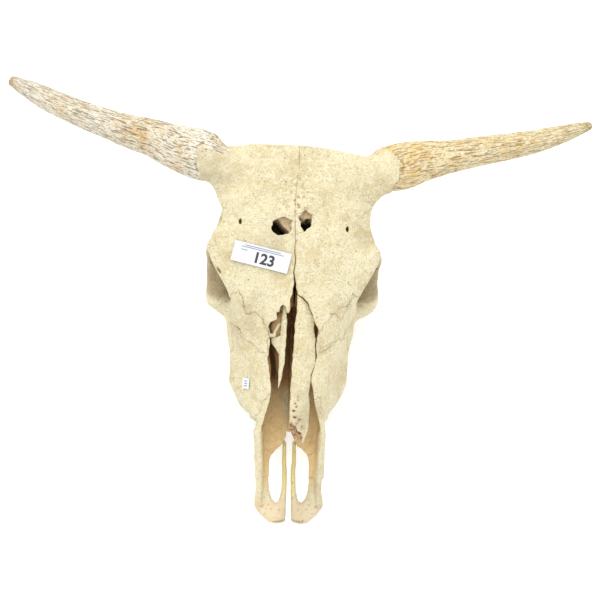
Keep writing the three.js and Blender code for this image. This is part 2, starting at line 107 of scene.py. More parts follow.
def melt(a, b, r):
    """The union of two solids with a fillet: the lesser distance, less (r - |a - b|)^2 / 4r
    where the two are within r of each other."""
    h = np.maximum(r - np.abs(a - b), 0)
    return np.minimum(a, b) - h * h / (4 * r)


def carve(a, b, r):
    """The solid a with b cut out of it, the edge rounded by r."""
    return -melt(-a, b, r)


def hermite(at, knots, values):
    """A cubic curve through values at knots, its slope at each knot taken from the neighbours."""
    knots, values = np.asarray(knots, float), np.asarray(values, float)
    slopes = np.gradient(values, knots, axis=0)
    i = np.clip(np.searchsorted(knots, at) - 1, 0, len(knots) - 2)
    gap = knots[i + 1] - knots[i]
    t = np.clip((at - knots[i]) / gap, 0, 1)
    gap, t = (v.reshape(v.shape + (1,) * (values.ndim - 1)) for v in (gap, t))
    rise = t * t * (3 - 2 * t)
    return (
        values[i] * (1 - rise)
        + values[i + 1] * rise
        + slopes[i] * gap * t * (1 - t) ** 2
        - slopes[i + 1] * gap * t * t * (1 - t)
    )


def rounded(corners):
    """A closed curve through the corners: a Catmull-Rom spline, in steps from each to the next."""
    a, b, c, d = (np.roll(corners, n, axis=0)[:, None] for n in (1, 0, -1, -2))
    t = np.linspace(0, 1, SECTION_STEPS, endpoint=False)[None, :, None]
    curve = 0.5 * (
        2 * b + (c - a) * t + (2 * a - 5 * b + 4 * c - d) * t**2 + (3 * b - a - 3 * c + d) * t**3
    )
    return curve.reshape(-1, corners.shape[1])


def outline_distance(u, v, outline):
    """Distance from points to a closed outline: the least distance to its edges, negative where
    a line from the point crosses the outline an odd number of times."""
    outline = np.asarray(outline, np.float32)
    best = np.full(np.broadcast(u, v).shape, 1e12, np.float32)
    inside = np.zeros(best.shape, bool)
    for (au, av), (bu, bv) in zip(outline, np.roll(outline, -1, axis=0)):
        eu, ev = bu - au, bv - av
        pu, pv = u - au, v - av
        t = np.clip((pu * eu + pv * ev) / (eu * eu + ev * ev + 1e-9), 0, 1)
        du, dv = pu - t * eu, pv - t * ev
        np.minimum(best, du * du + dv * dv, out=best)
        if av != bv:
            inside ^= ((v < av) != (v < bv)) & (u < au + eu * (v - av) / ev)
    return np.where(inside, -1, 1) * np.sqrt(best)


def section_field(space, rows):
    """A body of sections across Y: rows are (y, lean, [x, z], ...) down the left side of each
    section. The distance is that to the section's outline, taken from the section at each y."""
    knots = [row[0] for row in rows]
    leans = [row[1] for row in rows]
    corners = np.array([row[2:] for row in rows], float)
    z = space.axes[2][None, :]
    ys = space.axes[1]
    field = np.empty(space.shape, np.float32)
    half = hermite(np.clip(ys, knots[0], knots[-1]), knots, corners)
    mirrored = half[:, -2:0:-1] * (-1, 1)
    for j, outline in enumerate(np.concatenate([half, mirrored], axis=1)):
        field[:, j] = outline_distance(np.abs(space.axes[0])[:, None], z, rounded(outline))
    lean = np.interp(ys, knots, leans)
    for k, height in enumerate(space.axes[2]):
        source = ys - lean * height
        field[:, :, k] = sample_rows(field[:, :, k], ys, source)
    past = np.maximum(knots[0] - space.y, space.y - lean[None, :, None] * space.z - knots[-1])
    return np.maximum(field, past.astype(np.float32))


def sample_rows(sheet, ys, at):
    """The columns of sheet, given at ys, read at other places along Y."""
    at = np.clip(at, ys[0], ys[-1] - 1e-3)
    i = np.searchsorted(ys, at, side="right") - 1
    t = ((at - ys[i]) / (ys[i + 1] - ys[i])).astype(np.float32)
    return sheet[:, i] * (1 - t) + sheet[:, i + 1] * t


def lengths(points):
    """How far along a line each of its points lies."""
    steps = np.linalg.norm(np.diff(points, axis=0), axis=1)
    return np.concatenate([[0], np.cumsum(steps)])


def directions(spine, up):
    """Unit vectors along a line, across it and square to up, and over it."""
    tangent = np.gradient(spine, axis=0)
    tangent /= np.linalg.norm(tangent, axis=1)[:, None]
    across = np.cross(tangent, up)
    across /= np.linalg.norm(across, axis=1)[:, None]
    return tangent, across, np.cross(across, tangent)


def spin(u, v, degrees):
    """Two coordinates, or two axes, turned about the one square to them."""
    c, s = math.cos(math.radians(degrees)), math.sin(math.radians(degrees))
    return u * c + v * s, v * c - u * s


def chain(space, field, rows, side, r, up=(0, 0, 1), carving=False):
    """Melts a bar into the field: eggs set close together on a smooth line through rows of
    (x, y, z, half width, half height), the height lying towards up."""
    rows = np.array(rows, float)
    rows[:, 0] *= side
    along = lengths(rows[:, :3])
    count = max(4, int(along[-1] / EGG_GAP))
    spine = hermite(np.linspace(0, along[-1], count), along, rows)
    tangent, across, over = directions(spine[:, :3], up)
    reach = rows[:, 3:].max() + 2 * r + space.cell
    where = space.part(spine[:, :3].min(0) - reach, spine[:, :3].max(0) + reach)
    x, y, z = space.cut(where)
    best = np.full(field[where].shape, 1e6, np.float32)
    for (cx, cy, cz, w, h), t, a, o in zip(spine, tangent, across, over):
        px, py, pz = x - cx, y - cy, z - cz
        least = min(w, h)
        size = ((px * a[0] + py * a[1] + pz * a[2]) / w) ** 2
        size = size + ((px * o[0] + py * o[1] + pz * o[2]) / h) ** 2
        size = size + ((px * t[0] + py * t[1] + pz * t[2]) / least) ** 2
        np.minimum(best, (np.sqrt(size) - 1) * least, out=best)
    field[where] = carve(field[where], best, r) if carving else melt(field[where], best, r)


def egg(space, field, centre, half, side, r, turn_z=0.0, carving=False):
    """Melts in, or carves out, an egg turned about Z: (|p / half| - 1) times its least half."""
    reach = max(half) + 2 * r + space.cell
    centre = np.array(centre, float) * (side, 1, 1)
    where = space.part(centre - reach, centre + reach)
    x, y, z = space.cut(where)
    u, v = spin(x - centre[0], y - centre[1], side * turn_z)
    size = np.sqrt((u / half[0]) ** 2 + (v / half[1]) ** 2 + ((z - centre[2]) / half[2]) ** 2)
    near = ((size - 1) * min(half)).astype(np.float32)
    field[where] = carve(field[where], near, r) if carving else melt(field[where], near, r)


# Sections, from the snout to the poll: crest, crown, rim, wall, cheek, tooth edge, vault, keel.
CRANIUM_ROWS = [
    (48, 0, [0, -40], [18, -41], [34, -45], [43, -50], [43, -55], [38, -58], [22, -58], [0, -58]),
    (70, 0, [0, -16], [18, -19], [34, -33], [43.5, -47], [43, -57], [38, -63], [22, -62], [0, -61]),
    (100, 0, [0, -8], [20, -11], [36, -29], [45, -47], [45, -62], [40, -71], [26, -68], [0, -66]),
    (122, 0, [0, -7], [20, -10], [37, -25], [47, -46], [49, -64], [44, -80], [32, -76], [0, -71]),
    (136, 0, [0, -7], [21, -10], [37, -24], [49, -46], [59, -70], [53, -88], [34, -80], [0, -74]),
    (152, 0, [0, -6], [21, -9], [38, -23], [54, -46], [69, -76], [58, -94], [38, -85], [0, -79]),
    (166, 0, [0, -5], [23, -8], [41, -22], [57, -48], [76, -78], [60, -99], [38, -89], [0, -84]),
    (208, 0, [0, -2], [26, -5], [48, -21], [65, -48], [77, -78], [63, -112], [38, -99], [0, -96]),
    (234, 0, [0, 0], [30, -2], [56, -17], [74, -46], [83, -77], [62, -120], [36, -108], [0, -104]),
    (256, 0, [0, 3], [38, 0], [64, -14], [80, -44], [82, -80], [56, -120], [30, -112], [0, -103]),
    (282, 0, [0, 5], [50, 3], [81, -10], [76, -44], [68, -84], [38, -112], [20, -108], [0, -98]),
    (334, 0, [0, 8], [66, 5], [107, -17], [72, -46], [54, -82], [38, -108], [22, -110], [0, -104]),
    (382, 0, [0, 7], [60, 4], [93.5, -22], [70, -52], [64, -88], [48, -117], [24, -122], [0, -118]),
    (412, 0, [0, 4], [62, 1], [103, -24], [84, -56], [88, -92], [62, -124], [28, -132], [0, -131]),
    (440, 0.1, [0, 0], [64, -3], [96, -24], [86, -56], [84, -92], [56, -128], [28, -136], [0, -133]),
    (459, 0.2, [0, -8], [60, -11], [80, -26], [74, -52], [66, -84], [44, -118], [22, -132], [0, -126]),
]
NASAL_HOLLOW_ROWS = [
    (30, 0, [0, 30], [24, 30], [34, -26], [33.5, -40], [29, -50], [14, -52], [0, -52]),
    (76, 0, [0, 30], [24, 30], [35, -26], [35, -42], [30, -54], [14, -57], [0, -58]),
    (100, 0, [0, 30], [25, 30], [36, -24], [36, -42], [32, -58], [14, -61], [0, -62]),
    (124, 0, [0, 30], [24, 20], [33, -22], [38, -46], [34, -63], [15, -67], [0, -68]),
    (150, 0, [0, 30], [20, 10], [28, -18], [42, -48], [43, -68], [18, -74], [0, -75]),
    (182, 0, [0, -8], [18, -12], [31, -24], [45, -54], [46, -78], [20, -84], [0, -84]),
    (215, 0, [0, -6], [20, -9], [34, -24], [48, -56], [46, -84], [20, -92], [0, -92]),
    (246, 0, [0, -6], [20, -10], [36, -24], [44, -52], [40, -80], [18, -94], [0, -94]),
    (268, 0, [0, -20], [10, -22], [18, -32], [22, -50], [18, -68], [8, -74], [0, -76]),
]
ORBIT_RIM = [
    (68, 238, -72, 8, 14), (80, 254, -72, 11, 13), (94, 270, -73, 14.5, 11), (97, 296, -75, 13, 10),
    (98, 320, -79, 12, 10), (98, 350, -89, 6, 9), (90, 376, -99, 6, 9), (81, 396, -102, 9, 9),
]
ORBIT_STRUT = {
    LEFT: [(94, 333, -16, 11, 8), (102, 329, -33, 6, 8), (107, 323, -56, 5, 9), (104, 318, -80, 5, 10)],
    RIGHT: [(97, 337, -16, 12, 8), (104, 335, -33, 6, 8), (106, 329, -56, 5, 9), (103, 322, -80, 5, 10)],
}
JUGULAR_PROCESS = [
    (60, 410, -108, 13, 17), (61, 402, -130, 9, 15), (59, 393, -150, 6, 11), (56, 387, -166, 5, 7),
]
EAR_BULLA = [(50, 378, -104, 11, 13), (46, 368, -120, 8, 12), (42, 359, -134, 4, 6)]
EAR_CANAL = [(62, 386, -98, 10, 10), (84, 392, -92, 8, 8)]
PTERYGOID = [
    (19, 262, -110, 3.5, 14), (20, 286, -114, 3, 17), (23, 312, -104, 4, 14), (26, 332, -100, 6, 12),
]
CONDYLE = ((28, 422, -130), (18, 17, 22))
SPINAL_HOLE = [(0, 398, -107, 17, 17), (0, 420, -107, 17, 16), (0, 470, -107, 19, 18)]
HORN_ROOT = {
    LEFT: [
        (62, 424, -26, 25, 22), (88, 430, -26, 27, 24), (102, 436, -25, 29, 26), (130, 441, -22, 29, 25),
    ],
    RIGHT: [
        (62, 426, -26, 25, 22), (88, 434, -26, 27, 24), (104, 442, -25, 29.5, 26),
        (126, 449, -22, 29.5, 26),
    ],
}


def cranium_mass():
    """The solid of the whole cranium and the hollow of its nose, each on the coarse grid."""
    space = Space(CRANIUM_LOW, CRANIUM_HIGH, COARSE)
    field = section_field(space, CRANIUM_ROWS)
    for side in (LEFT, RIGHT):
        chain(space, field, HORN_ROOT[side], side, 14)
        chain(space, field, ORBIT_RIM, side, 5)
        chain(space, field, EAR_CANAL, side, 5)
        chain(space, field, EAR_BULLA, side, 5, up=(0, 1, 0))
        chain(space, field, JUGULAR_PROCESS, side, 6, up=(0, 1, 0))
        egg(space, field, *CONDYLE, side, 4, turn_z=-16)
    return field, section_field(space, NASAL_HOLLOW_ROWS)


hull, nose_hollow = cranium_mass()


# ---------------------------------------------------------------- bone made into meshes
# Each bone is the part of the cranium that lies in its own region, with a narrow seam around it.
# The region's border is crooked, as a suture is, and the surface carries fine ripples.
def b_spline(f):
    """The shares of four knots in a smooth curve that passes near their values, f being how far
    the place is from the second knot to the third."""
    return [v / 6 for v in ((1 - f) ** 3, 3 * f**3 - 6 * f**2 + 4, 1 + 3 * f + 3 * f**2 - 3 * f**3, f**3)]


def catmull_rom(f):
    """The same for a curve that passes through the knots' values."""
    parts = (-f + 2 * f**2 - f**3, 2 - 5 * f**2 + 3 * f**3, f + 4 * f**2 - 3 * f**3, f**3 - f**2)
    return [v / 2 for v in parts]


def spline_weights(at, first, gap, count, shares=b_spline):
    """A matrix that carries values from count knots, a gap apart, to places."""
    t = (np.asarray(at, float) - first) / gap
    i = np.clip(np.floor(t).astype(int), 1, count - 3)
    weights = np.zeros((len(t), count), np.float32)
    for k, share in enumerate(shares(t - i)):
        weights[np.arange(len(t)), i + k - 1] = share
    return weights


def through(weights, values):
    """Carries values from knots to places along each of the three axes in turn."""
    for n, matrix in enumerate(weights):
        values = np.moveaxis(np.tensordot(matrix, values, axes=(1, n)), 0, n)
    return values


RIPPLE_LOW = np.array([-400.0, -60.0, -220.0])
RIPPLE_HIGH = np.array([400.0, 580.0, 110.0])
RIPPLE_GAIN = 2.6  # brings the blended random values back to about a half either way


@functools.cache
def random_heights(size, seed):
    """Random heights from -1 to 1, size apart, all over the skull."""
    counts = np.ceil((RIPPLE_HIGH - RIPPLE_LOW) / size).astype(int) + 3
    return 2 * np.random.default_rng(seed).random(counts, np.float32) - 1


def ripple(space, size, seed, flat=False):
    """A smooth random field: the heights near the space, blended by cubic B-splines; only the
    space's lowest layer if flat."""
    heights = random_heights(size, seed)
    weights = []
    for n in range(3):
        axis = space.axes[n][:1] if flat and n == 2 else space.axes[n]
        first = int((axis[0] - RIPPLE_LOW[n]) / size) - 1
        last = int((axis[-1] - RIPPLE_LOW[n]) / size) + 4
        heights = np.take(heights, range(first, last), axis=n)
        weights.append(spline_weights(axis, RIPPLE_LOW[n] + first * size, size, last - first))
    return RIPPLE_GAIN * through(weights, heights)


def waves(space, *rows, flat=False):
    """A sum of ripples, one for each row of (height, size, seed)."""
    return sum(height * ripple(space, size, seed, flat) for height, size, seed in rows)


def ramp(values, low, width):
    """0 up to low, 1 from low + width on, and a straight rise between; backwards if width is
    negative."""
    return np.clip((values - low) / width, 0, 1)


def fine_field(space, coarse_values):
    """The coarse field read on a finer grid."""
    weights = [
        spline_weights(axis, low, COARSE, count, catmull_rom)
        for axis, low, count in zip(space.axes, CRANIUM_LOW, coarse_values.shape)
    ]
    return through(weights, coarse_values)


def net(field, space):
    """Surface nets: one point in each cell that the surface enters, at the mean of its crossings
    of the cell's edges, and one quad round each crossed grid edge."""
    inside = field < 0
    nx, ny, nz = field.shape
    corners = [(a, b, c) for a in (0, 1) for b in (0, 1) for c in (0, 1)]
    full = np.zeros((nx - 1, ny - 1, nz - 1), np.uint8)
    for a, b, c in corners:
        full += inside[a : nx - 1 + a, b : ny - 1 + b, c : nz - 1 + c]
    active = (full > 0) & (full < 8)
    cells = np.argwhere(active)
    number = np.full(active.shape, -1, np.int64)
    number[active] = np.arange(len(cells))
    steps = np.array([ny * nz, nz, 1])
    base = cells @ steps
    flat = field.ravel()
    total = np.zeros((len(cells), 3))
    hits = np.zeros(len(cells))
    for axis in range(3):
        for corner in corners:
            if corner[axis]:
                continue
            start = base + np.dot(corner, steps)
            a, b = flat[start], flat[start + steps[axis]]
            crossed = (a < 0) != (b < 0)
            t = np.where(crossed, a / np.where(crossed, a - b, 1), 0)
            place = np.tile(np.array(corner, float), (len(cells), 1))
            place[:, axis] += t
            total += place * crossed[:, None]
            hits += crossed
    low = np.array([axis[0] for axis in space.axes])
    points = low + space.cell * (cells + total / hits[:, None])
    quads = []
    for axis in range(3):
        u, v = (axis + 1) % 3, (axis + 2) % 3
        at = np.argwhere(np.diff(inside, axis=axis))
        at = at[(at[:, u] > 0) & (at[:, v] > 0)]
        at = at[(at[:, u] < field.shape[u] - 1) & (at[:, v] < field.shape[v] - 1)]
        leaving = inside[tuple(at.T)]
        ring = []
        for du, dv in ((-1, -1), (0, -1), (0, 0), (-1, 0)):
            cell = at.copy()
            cell[:, u] += du
            cell[:, v] += dv
            ring.append(number[tuple(cell.T)])
        ring = np.stack(ring, axis=1)
        ring[~leaving] = ring[~leaving][:, ::-1]
        quads.append(ring)
    return points, np.concatenate(quads)


def largest_part(points, quads):
    """Which points belong to the largest connected part: labels spread along the faces."""
    label = np.arange(len(points))
    while True:
        least = label[quads].min(axis=1)
        new = label.copy()
        np.minimum.at(new, quads.ravel(), np.repeat(least, quads.shape[1]))
        new = new[new]
        if np.array_equal(new, label):
            break
        label = new
    return label == np.bincount(label).argmax()


RELAX_TIMES = 2
RELAX_SHARES = (0.5, -0.52)  # towards the mean of the neighbours, then back from it


def relax(points, quads):
    """Moves each point part of the way to the mean of its neighbours and back, which flattens
    small steps and keeps the size."""
    pairs = np.stack([quads.ravel(), np.roll(quads, -1, axis=1).ravel()], axis=1)
    pairs = np.concatenate([pairs, pairs[:, ::-1]])
    count = np.bincount(pairs[:, 0], minlength=len(points))[:, None]
    for share in RELAX_SHARES * RELAX_TIMES:
        sums = [np.bincount(pairs[:, 0], points[pairs[:, 1], n], len(points)) for n in range(3)]
        points = points + share * (np.stack(sums, axis=1) / count - points)
    return points


def read(values, space, points):
    """A field read at points: the eight values round each, blended by nearness."""
    low = [axis[0] for axis in space.axes]
    place = (points - low) / space.cell
    i = np.clip(np.floor(place).astype(int), 0, np.array(space.shape) - 2)
    t = np.clip(place - i, 0, 1)
    total = 0
    for corner in np.ndindex(2, 2, 2):
        weight = np.prod(np.where(corner, t, 1 - t), axis=1)
        total = total + weight * values[tuple((i + corner).T)]
    return total


def in_scene(name, data):
    """An object of that name, linked into the scene."""
    made = bpy.data.objects.new(name, data)
    bpy.context.scene.collection.objects.link(made)
    return made


def piece(name, points, faces, slot, nodes, material, **values):
    """A smooth mesh riding on the skull, with an attribute of numbers or vectors for each value
    given. Nothing reaches below the floor."""
    mesh = bpy.data.meshes.new(name)
    placed = at_rest(points)
    placed[:, 2] = np.maximum(placed[:, 2], 0)
    mesh.from_pydata(placed, [], faces)
    for attribute, numbers in values.items():
        numbers = np.ascontiguousarray(numbers, np.float32)
        kind, key = ("FLOAT_VECTOR", "vector") if numbers.ndim == 2 else ("FLOAT", "value")
        mesh.attributes.new(attribute, kind, "POINT").data.foreach_set(key, numbers.ravel())
    mesh.polygons.foreach_set("use_smooth", np.ones(len(mesh.polygons), bool))
    mesh.materials.append(material)
    made = in_scene(name, mesh)
    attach(made, BODY)
    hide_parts(*nodes)
    return made


def grown(name, field, space, slot, nodes, material, stains=None):
    """Meshes the largest solid in a field and smooths it; stains gives the attributes of points."""
    points, quads = net(field, space)
    keep = largest_part(points, quads)
    quads = (np.cumsum(keep) - 1)[quads[keep[quads[:, 0]]]]
    points = relax(points[keep], quads)
    values = stains(points) if stains else {}
    piece(name, points, quads, slot, nodes, material, **values)


# ---------------------------------------------------------------- finish of the bone
# Dry bleached bone: cream, mottled in soft patches, with fine pores, dark specks where small
# vessels ran, hairline cracks and brown stains along the seams. The brown in the nose is part
# stain, part painted shade; painted grey-brown shade darkens the hollows and orbits, and painted
# black shadow fills the deep corners of holes, pits and the nose's left cavity.
class Wire:
    """A node's output that can be worked with as if it were a number."""

    def __init__(self, finish, orbit_shade):
        self.finish, self.orbit_shade = finish, orbit_shade

    def math(self, operation, a, b):
        return self.finish.node("ShaderNodeMath", {"operation": operation}, {0: a, 1: b})

    def __add__(self, other):
        return self.math("ADD", self, other)

    def __sub__(self, other):
        return self.math("SUBTRACT", self, other)

    def __rsub__(self, other):
        return self.math("SUBTRACT", other, self)

    def __mul__(self, other):
        return self.math("MULTIPLY", self, other)

    __radd__, __rmul__ = __add__, __mul__


class Finish:
    """A material made of nodes around one Principled shader."""

    def __init__(self, name):
        self.material = bpy.data.materials.new(name)
        self.material.use_nodes = True
        self.tree = self.material.node_tree
        self.shader = self.tree.nodes["Principled BSDF"]
        self.place = self.node("ShaderNodeTexCoord", output="Object")

    def node(self, kind, settings=(), inputs=(), output=0):
        """Adds a node, sets its settings, then its sockets' values or links, and wraps an output."""
        made = self.tree.nodes.new(kind)
        for key, value in dict(settings).items():
            setattr(made, key, value)
        for key, value in dict(inputs).items():
            self.feed(made.inputs[key], value)
        return Wire(self, made.outputs[output])

    def feed(self, orbit_shade, value):
        if isinstance(value, Wire):
            self.tree.links.new(value.orbit_shade, orbit_shade)
        else:
            orbit_shade.default_value = value

    def set(self, **inputs):
        """Feeds the shader's sockets, each named with underscores for its spaces."""
        for key, value in inputs.items():
            self.feed(self.shader.inputs[key.replace("_", " ")], value)

    def noise(self, scale, detail=2.0, roughness=0.5, place=None, output="Fac"):
        inputs = {"Vector": place or self.place, "Scale": scale, "Detail": detail,
                  "Roughness": roughness}
        return self.node("ShaderNodeTexNoise", {}, inputs, output)

    def cells(self, scale, output="Distance", feature="F1", place=None):
        inputs = {"Vector": place or self.place, "Scale": scale}
        return self.node("ShaderNodeTexVoronoi", {"feature": feature}, inputs, output)

    def attribute(self, name, output="Fac"):
        return self.node("ShaderNodeAttribute", {"attribute_name": name}, output=output)

    def stretch(self, place, x, y, z):
        """The place, scaled along each axis, for patterns that run long in one direction."""
        return self.node("ShaderNodeVectorMath", {"operation": "MULTIPLY"}, {0: place, 1: (x, y, z)})

    def step(self, value, low, high, a=0.0, b=1.0):
        """value taken from low..high to a..b, smoothly, and held there beyond."""
        inputs = {0: value, 1: low, 2: high, 3: a, 4: b}
        return self.node("ShaderNodeMapRange", {"interpolation_type": "SMOOTHSTEP"}, inputs)

    def mix(self, share, a, b):
        """Colour a blended towards colour b by share."""
        settings = {"data_type": "RGBA", "clamp_factor": True}
        return self.node("ShaderNodeMix", settings, {0: share, 6: a, 7: b}, 2)

    def layers(self, colour, rows):
        """A colour with others laid over it in turn, each row a share and a colour."""
        for share, over in rows:
            colour = self.mix(share, colour, over)
        return colour

    def bump(self, height, distance):
        return self.node("ShaderNodeBump", {}, {"Height": height, "Distance": distance})


STUDIO_LIGHT = 1.5  # how much more than a white sheet needs the studio's light is


def seen(red, green, blue):
    """The reflectance that looks like this screen colour, 0 to 255, under the studio's light."""
    shares = np.array([red, green, blue]) / 255
    light = np.where(shares < 0.04, shares / 12.9, ((shares + 0.055) / 1.055) ** 2.4)
    return (*(float(v) for v in light / STUDIO_LIGHT), 1)


CREAM = seen(248, 238, 198)
PALE = seen(255, 250, 220)
WARM = seen(222, 200, 146)
GREY = seen(206, 197, 168)
SHADE = seen(150, 130, 98)
TAN = seen(255, 222, 160)
STAIN = seen(168, 132, 82)
DARK = seen(186, 140, 88)
SPECK = seen(110, 78, 48)
SHADOW_BLACK = seen(40, 26, 14)
RUST = seen(208, 154, 94)
RAW = seen(206, 156, 118)
GOLD = seen(250, 230, 150)
ROSE = seen(255, 228, 188)


def bone_finish(name, light, warm):
    """Patches, mottling and flecks from light to warm, then the stains and the painted shade that the
    attributes place, then specks, pores and cracks."""
    f = Finish(name)
    patches = f.step(f.noise(26, 3), 0.42, 0.7)
    mottle = f.step(f.noise(150, 4, 0.65), 0.42, 0.62)
    flecks = f.step(f.noise(420, 3, 0.6), 0.5, 0.66)
    grain = f.noise(900, 3, 0.6)
    speck = f.step(f.cells(210), 0.08, 0.24, 1, 0) * f.step(f.cells(210, "Color"), 0.68, 0.8)
    speck = speck * f.step(f.noise(36, 2), 0.42, 0.6)
    pore = f.step(f.cells(560), 0.14, 0.34, 1, 0) * f.step(f.noise(60, 2), 0.46, 0.6)
    swirl = {0: f.noise(70, 3, output="Color"), 1: (0.012, 0.012, 0.012), 2: f.place}
    bent = f.node("ShaderNodeVectorMath", {"operation": "MULTIPLY_ADD"}, swirl)
    crack = f.step(f.cells(42, feature="DISTANCE_TO_EDGE", place=bent), 0.0, 0.02, 1, 0)
    crack = crack * f.step(f.noise(18, 2), 0.55, 0.7)
    scars = f.step(f.noise(240, 3, 0.6), 0.52, 0.6) * f.attribute("pitted")
    torn = f.mix(f.step(f.noise(380, 3), 0.46, 0.56), RAW, SPECK)
    streaks = f.stretch(f.place, 1.0, 0.12, 0.3)
    brown = f.mix(f.step(f.noise(220, 3, place=streaks), 0.42, 0.62), DARK, RUST)
    colour = f.layers(light, [
        (patches * 0.7, warm),
        (mottle * 0.75, PALE),
        (flecks * 0.85, warm),
        (f.attribute("rosy") * 0.7, ROSE),
        (f.step(f.noise(13, 3), 0.5, 0.72) * 0.4, GREY),
        # painted shade: grey-brown where the surface lies deep below the hull, in hollows and orbits
        (f.step(f.attribute("sunk"), 0, 1) * 0.85, f.mix(mottle, SHADE, STAIN)),
        (f.attribute("golden") * 0.8, GOLD),
        (f.attribute("inner") * 0.97, f.mix(mottle * 0.15, TAN, STAIN)),
        (f.attribute("raw") * 0.9, torn),
        # brown in the nose and under the nasal bones: part stain, part painted shade that deepens towards
        # the back, under the roof
        (f.attribute("dark") * 0.96, brown),
        # painted shadow: black in the deep corners of the brow holes, in the nose's left cavity, in the
        # muzzle's pits and lip groove, and on the front of the concha
        (f.attribute("deep") * 0.97, SHADOW_BLACK),
        (f.attribute("seam") * 0.3, STAIN),
        (scars * 0.75, STAIN),
        (speck * 0.75, SPECK),
        (pore * 0.45, STAIN),
        (crack * 0.35, STAIN),
        (f.step(grain, 0.3, 0.75) * 0.12, STAIN),
    ])
    lumps = f.noise(240, 3, 0.55)
    height = grain * 0.2 - speck * 0.8 - pore * 0.4 - crack * 0.5 + mottle * 0.15 + lumps * 1.2
    f.set(Base_Color=colour, Roughness=f.step(mottle + grain, 0.4, 1.6, 0.62, 0.82),
          Normal=f.bump(height, 0.0011), Specular_IOR_Level=0.25)
    return f.material


BONE = bone_finish("bleached_bone", CREAM, WARM)


# ---------------------------------------------------------------- the bones of the cranium
# Frontal, lacrimal, cheek, temporal, jaw, palate, occipital and sphenoid bones, each grown
# separately and locked to its neighbours along crooked sutures.
CELL = 1.2
SEAM = -0.3  # clear width of a seam, less than nothing where the bones lock into each other
CRACK = [  # y, x of the crack along the midline
    (-30, 0), (284, 0), (294, -0.7), (305, -2.5), (321, -0.8), (334, -1.6), (352, -1.6), (372, -2.5),
    (391, -2.1), (410, -1.0), (426, 0.3), (436, 1.2), (500, 1.6),
]
CRACK_WIDTH = [
    (-30, -0.4), (250, -0.4), (275, 2.0), (290, 2.0), (300, 1.2), (312, 0.7), (325, 0.5), (350, 0.1),
    (380, -0.1), (400, -0.3), (500, -0.4),
]
SIDE_OUTLINES = {  # y, z round each bone's block, seen from the side
    "incisive": [
        (-20, 40), (-20, -90), (66, -90), (76, -58), (104, -50), (126, -36), (154, -14), (154, 40),
    ],
    "cheekbone": [
        (205, -92), (208, -62), (228, -50), (262, -54), (276, -62), (300, -66), (318, -62),
        (322, -52), (348, -52), (362, -84), (362, -116), (320, -116), (268, -94), (232, -94),
    ],
    "temporal": [
        (338, -74), (350, -58), (402, -60), (402, -112), (372, -146), (350, -146), (338, -112),
    ],
    "frontal": [
        (232, 40), (232, -38), (262, -50), (300, -54), (345, -52), (400, -58), (480, -52), (500, 40),
    ],
    "palatine": [(226, -92), (292, -92), (292, -150), (226, -150)],
    "maxilla": [(50, 40), (50, -190), (262, -190), (266, -112), (262, -50), (240, 0), (240, 40)],
    "occipital": [(402, -58), (402, -112), (376, -120), (376, -190), (500, -190), (500, -51)],
}
SIDE_REACH = {  # how far from the midline each block starts and ends
    "incisive": (-20, 90), "cheekbone": (60, 140), "temporal": (36, 140), "frontal": (-20, 140),
    "palatine": (-20, 33), "maxilla": (-20, 140), "occipital": (-140, 140),
}
LACRIMAL_FLOOR = -60
LACRIMAL_PLAN = [  # x, y from above
    (29, 208), (31, 235), (38, 244), (47, 255.5), (57, 254), (64, 266), (72, 284), (86, 274), (86, 246),
    (68, 238), (66, 227), (56, 222), (49, 218.7), (41, 208),
]
HORN_PLAN = {  # x, y round the side of the skull that belongs to the horn core
    LEFT: [(98, 500), (104, 462), (120, 454), (128, 442), (128, 432), (123, 422), (115, 404),
           (108, 380), (420, 380), (420, 600)],
    RIGHT: [(88, 500), (93, 476), (108, 467), (120, 458), (122.5, 440), (122, 426), (116, 412),
            (108, 390), (420, 390), (420, 600)],
}
CLAIMS = [  # where blocks overlap, the earlier bone has the place
    "incisive", "cheekbone", "temporal", "lacrimal", "frontal", "palatine", "maxilla", "occipital",
]
BONE_BOXES = {
    "cheekbone": ((56, 200, -122), (124, 368, -44)),
    "temporal": ((32, 332, -152), (112, 408, -52)),
    "lacrimal": ((22, 200, -66), (92, 292, 8)),
    "frontal": ((-6, 226, -64), (124, 484, 16)),
    "palatine": ((-4, 220, -150), (38, 298, -86)),
    "maxilla": ((-4, 52, -150), (92, 272, 4)),
    "occipital": ((-112, 370, -190), (112, 486, -46)),
    "sphenoid": ((-104, 196, -160), (104, 486, -30)),
}
NASAL_BED = {  # x, y round the opening that the nasal bones roof
    LEFT: [
        (-0.9, 296), (0.6, 286), (2.4, 280.5), (8.5, 276.6), (16.6, 268.6), (20.9, 260), (25, 247),
        (31, 235.4), (28, 224.6), (27.6, 205), (27, 193.5), (22.6, 180.5), (21.9, 171), (20.8, 157.5),
        (23, 146), (-0.9, 146),
    ],
    RIGHT: [
        (-0.9, 296), (0.8, 295), (3.5, 284.4), (5.4, 273.7), (5.4, 262), (7.5, 256), (10, 256.5),
        (11.5, 264), (13.5, 266.4), (16.5, 266), (18.6, 263), (19, 257), (22.3, 258.6), (21.6, 249),
        (29.4, 245.4), (33.3, 238.7), (30.6, 226), (29, 221), (31.7, 203), (29.7, 188), (27.7, 172),
        (26.5, 155.5), (27, 146), (-0.9, 146),
    ],
}
PALATE_EDGE = [(-4, 40), (26, 40), (26, 68), (22, 77), (16, 83), (10, 87), (3, 103), (-4, 105)]
BROW_HOLES = [
    [
        (-30.8, 361.6), (-25.4, 371.3), (-15.9, 373.1), (-6.3, 370.2), (-5.3, 362.3), (-12.3, 352.5),
        (-21.7, 349.1), (-28.2, 353.7),
    ],
    [
        (3.2, 372), (6.3, 380.1), (11, 382.6), (17.5, 377.2), (18.5, 369.2), (15.5, 359.6), (8.4, 355.4),
        (3.5, 362.5),
    ],
]
BROW_HOLE_SHALLOW, BROW_HOLE_FALL = 2, 27


def path_value(rows, y):
    """Straight runs through rows of (y, value), read at y."""
    return np.interp(y, *np.array(rows, float).T).astype(np.float32)


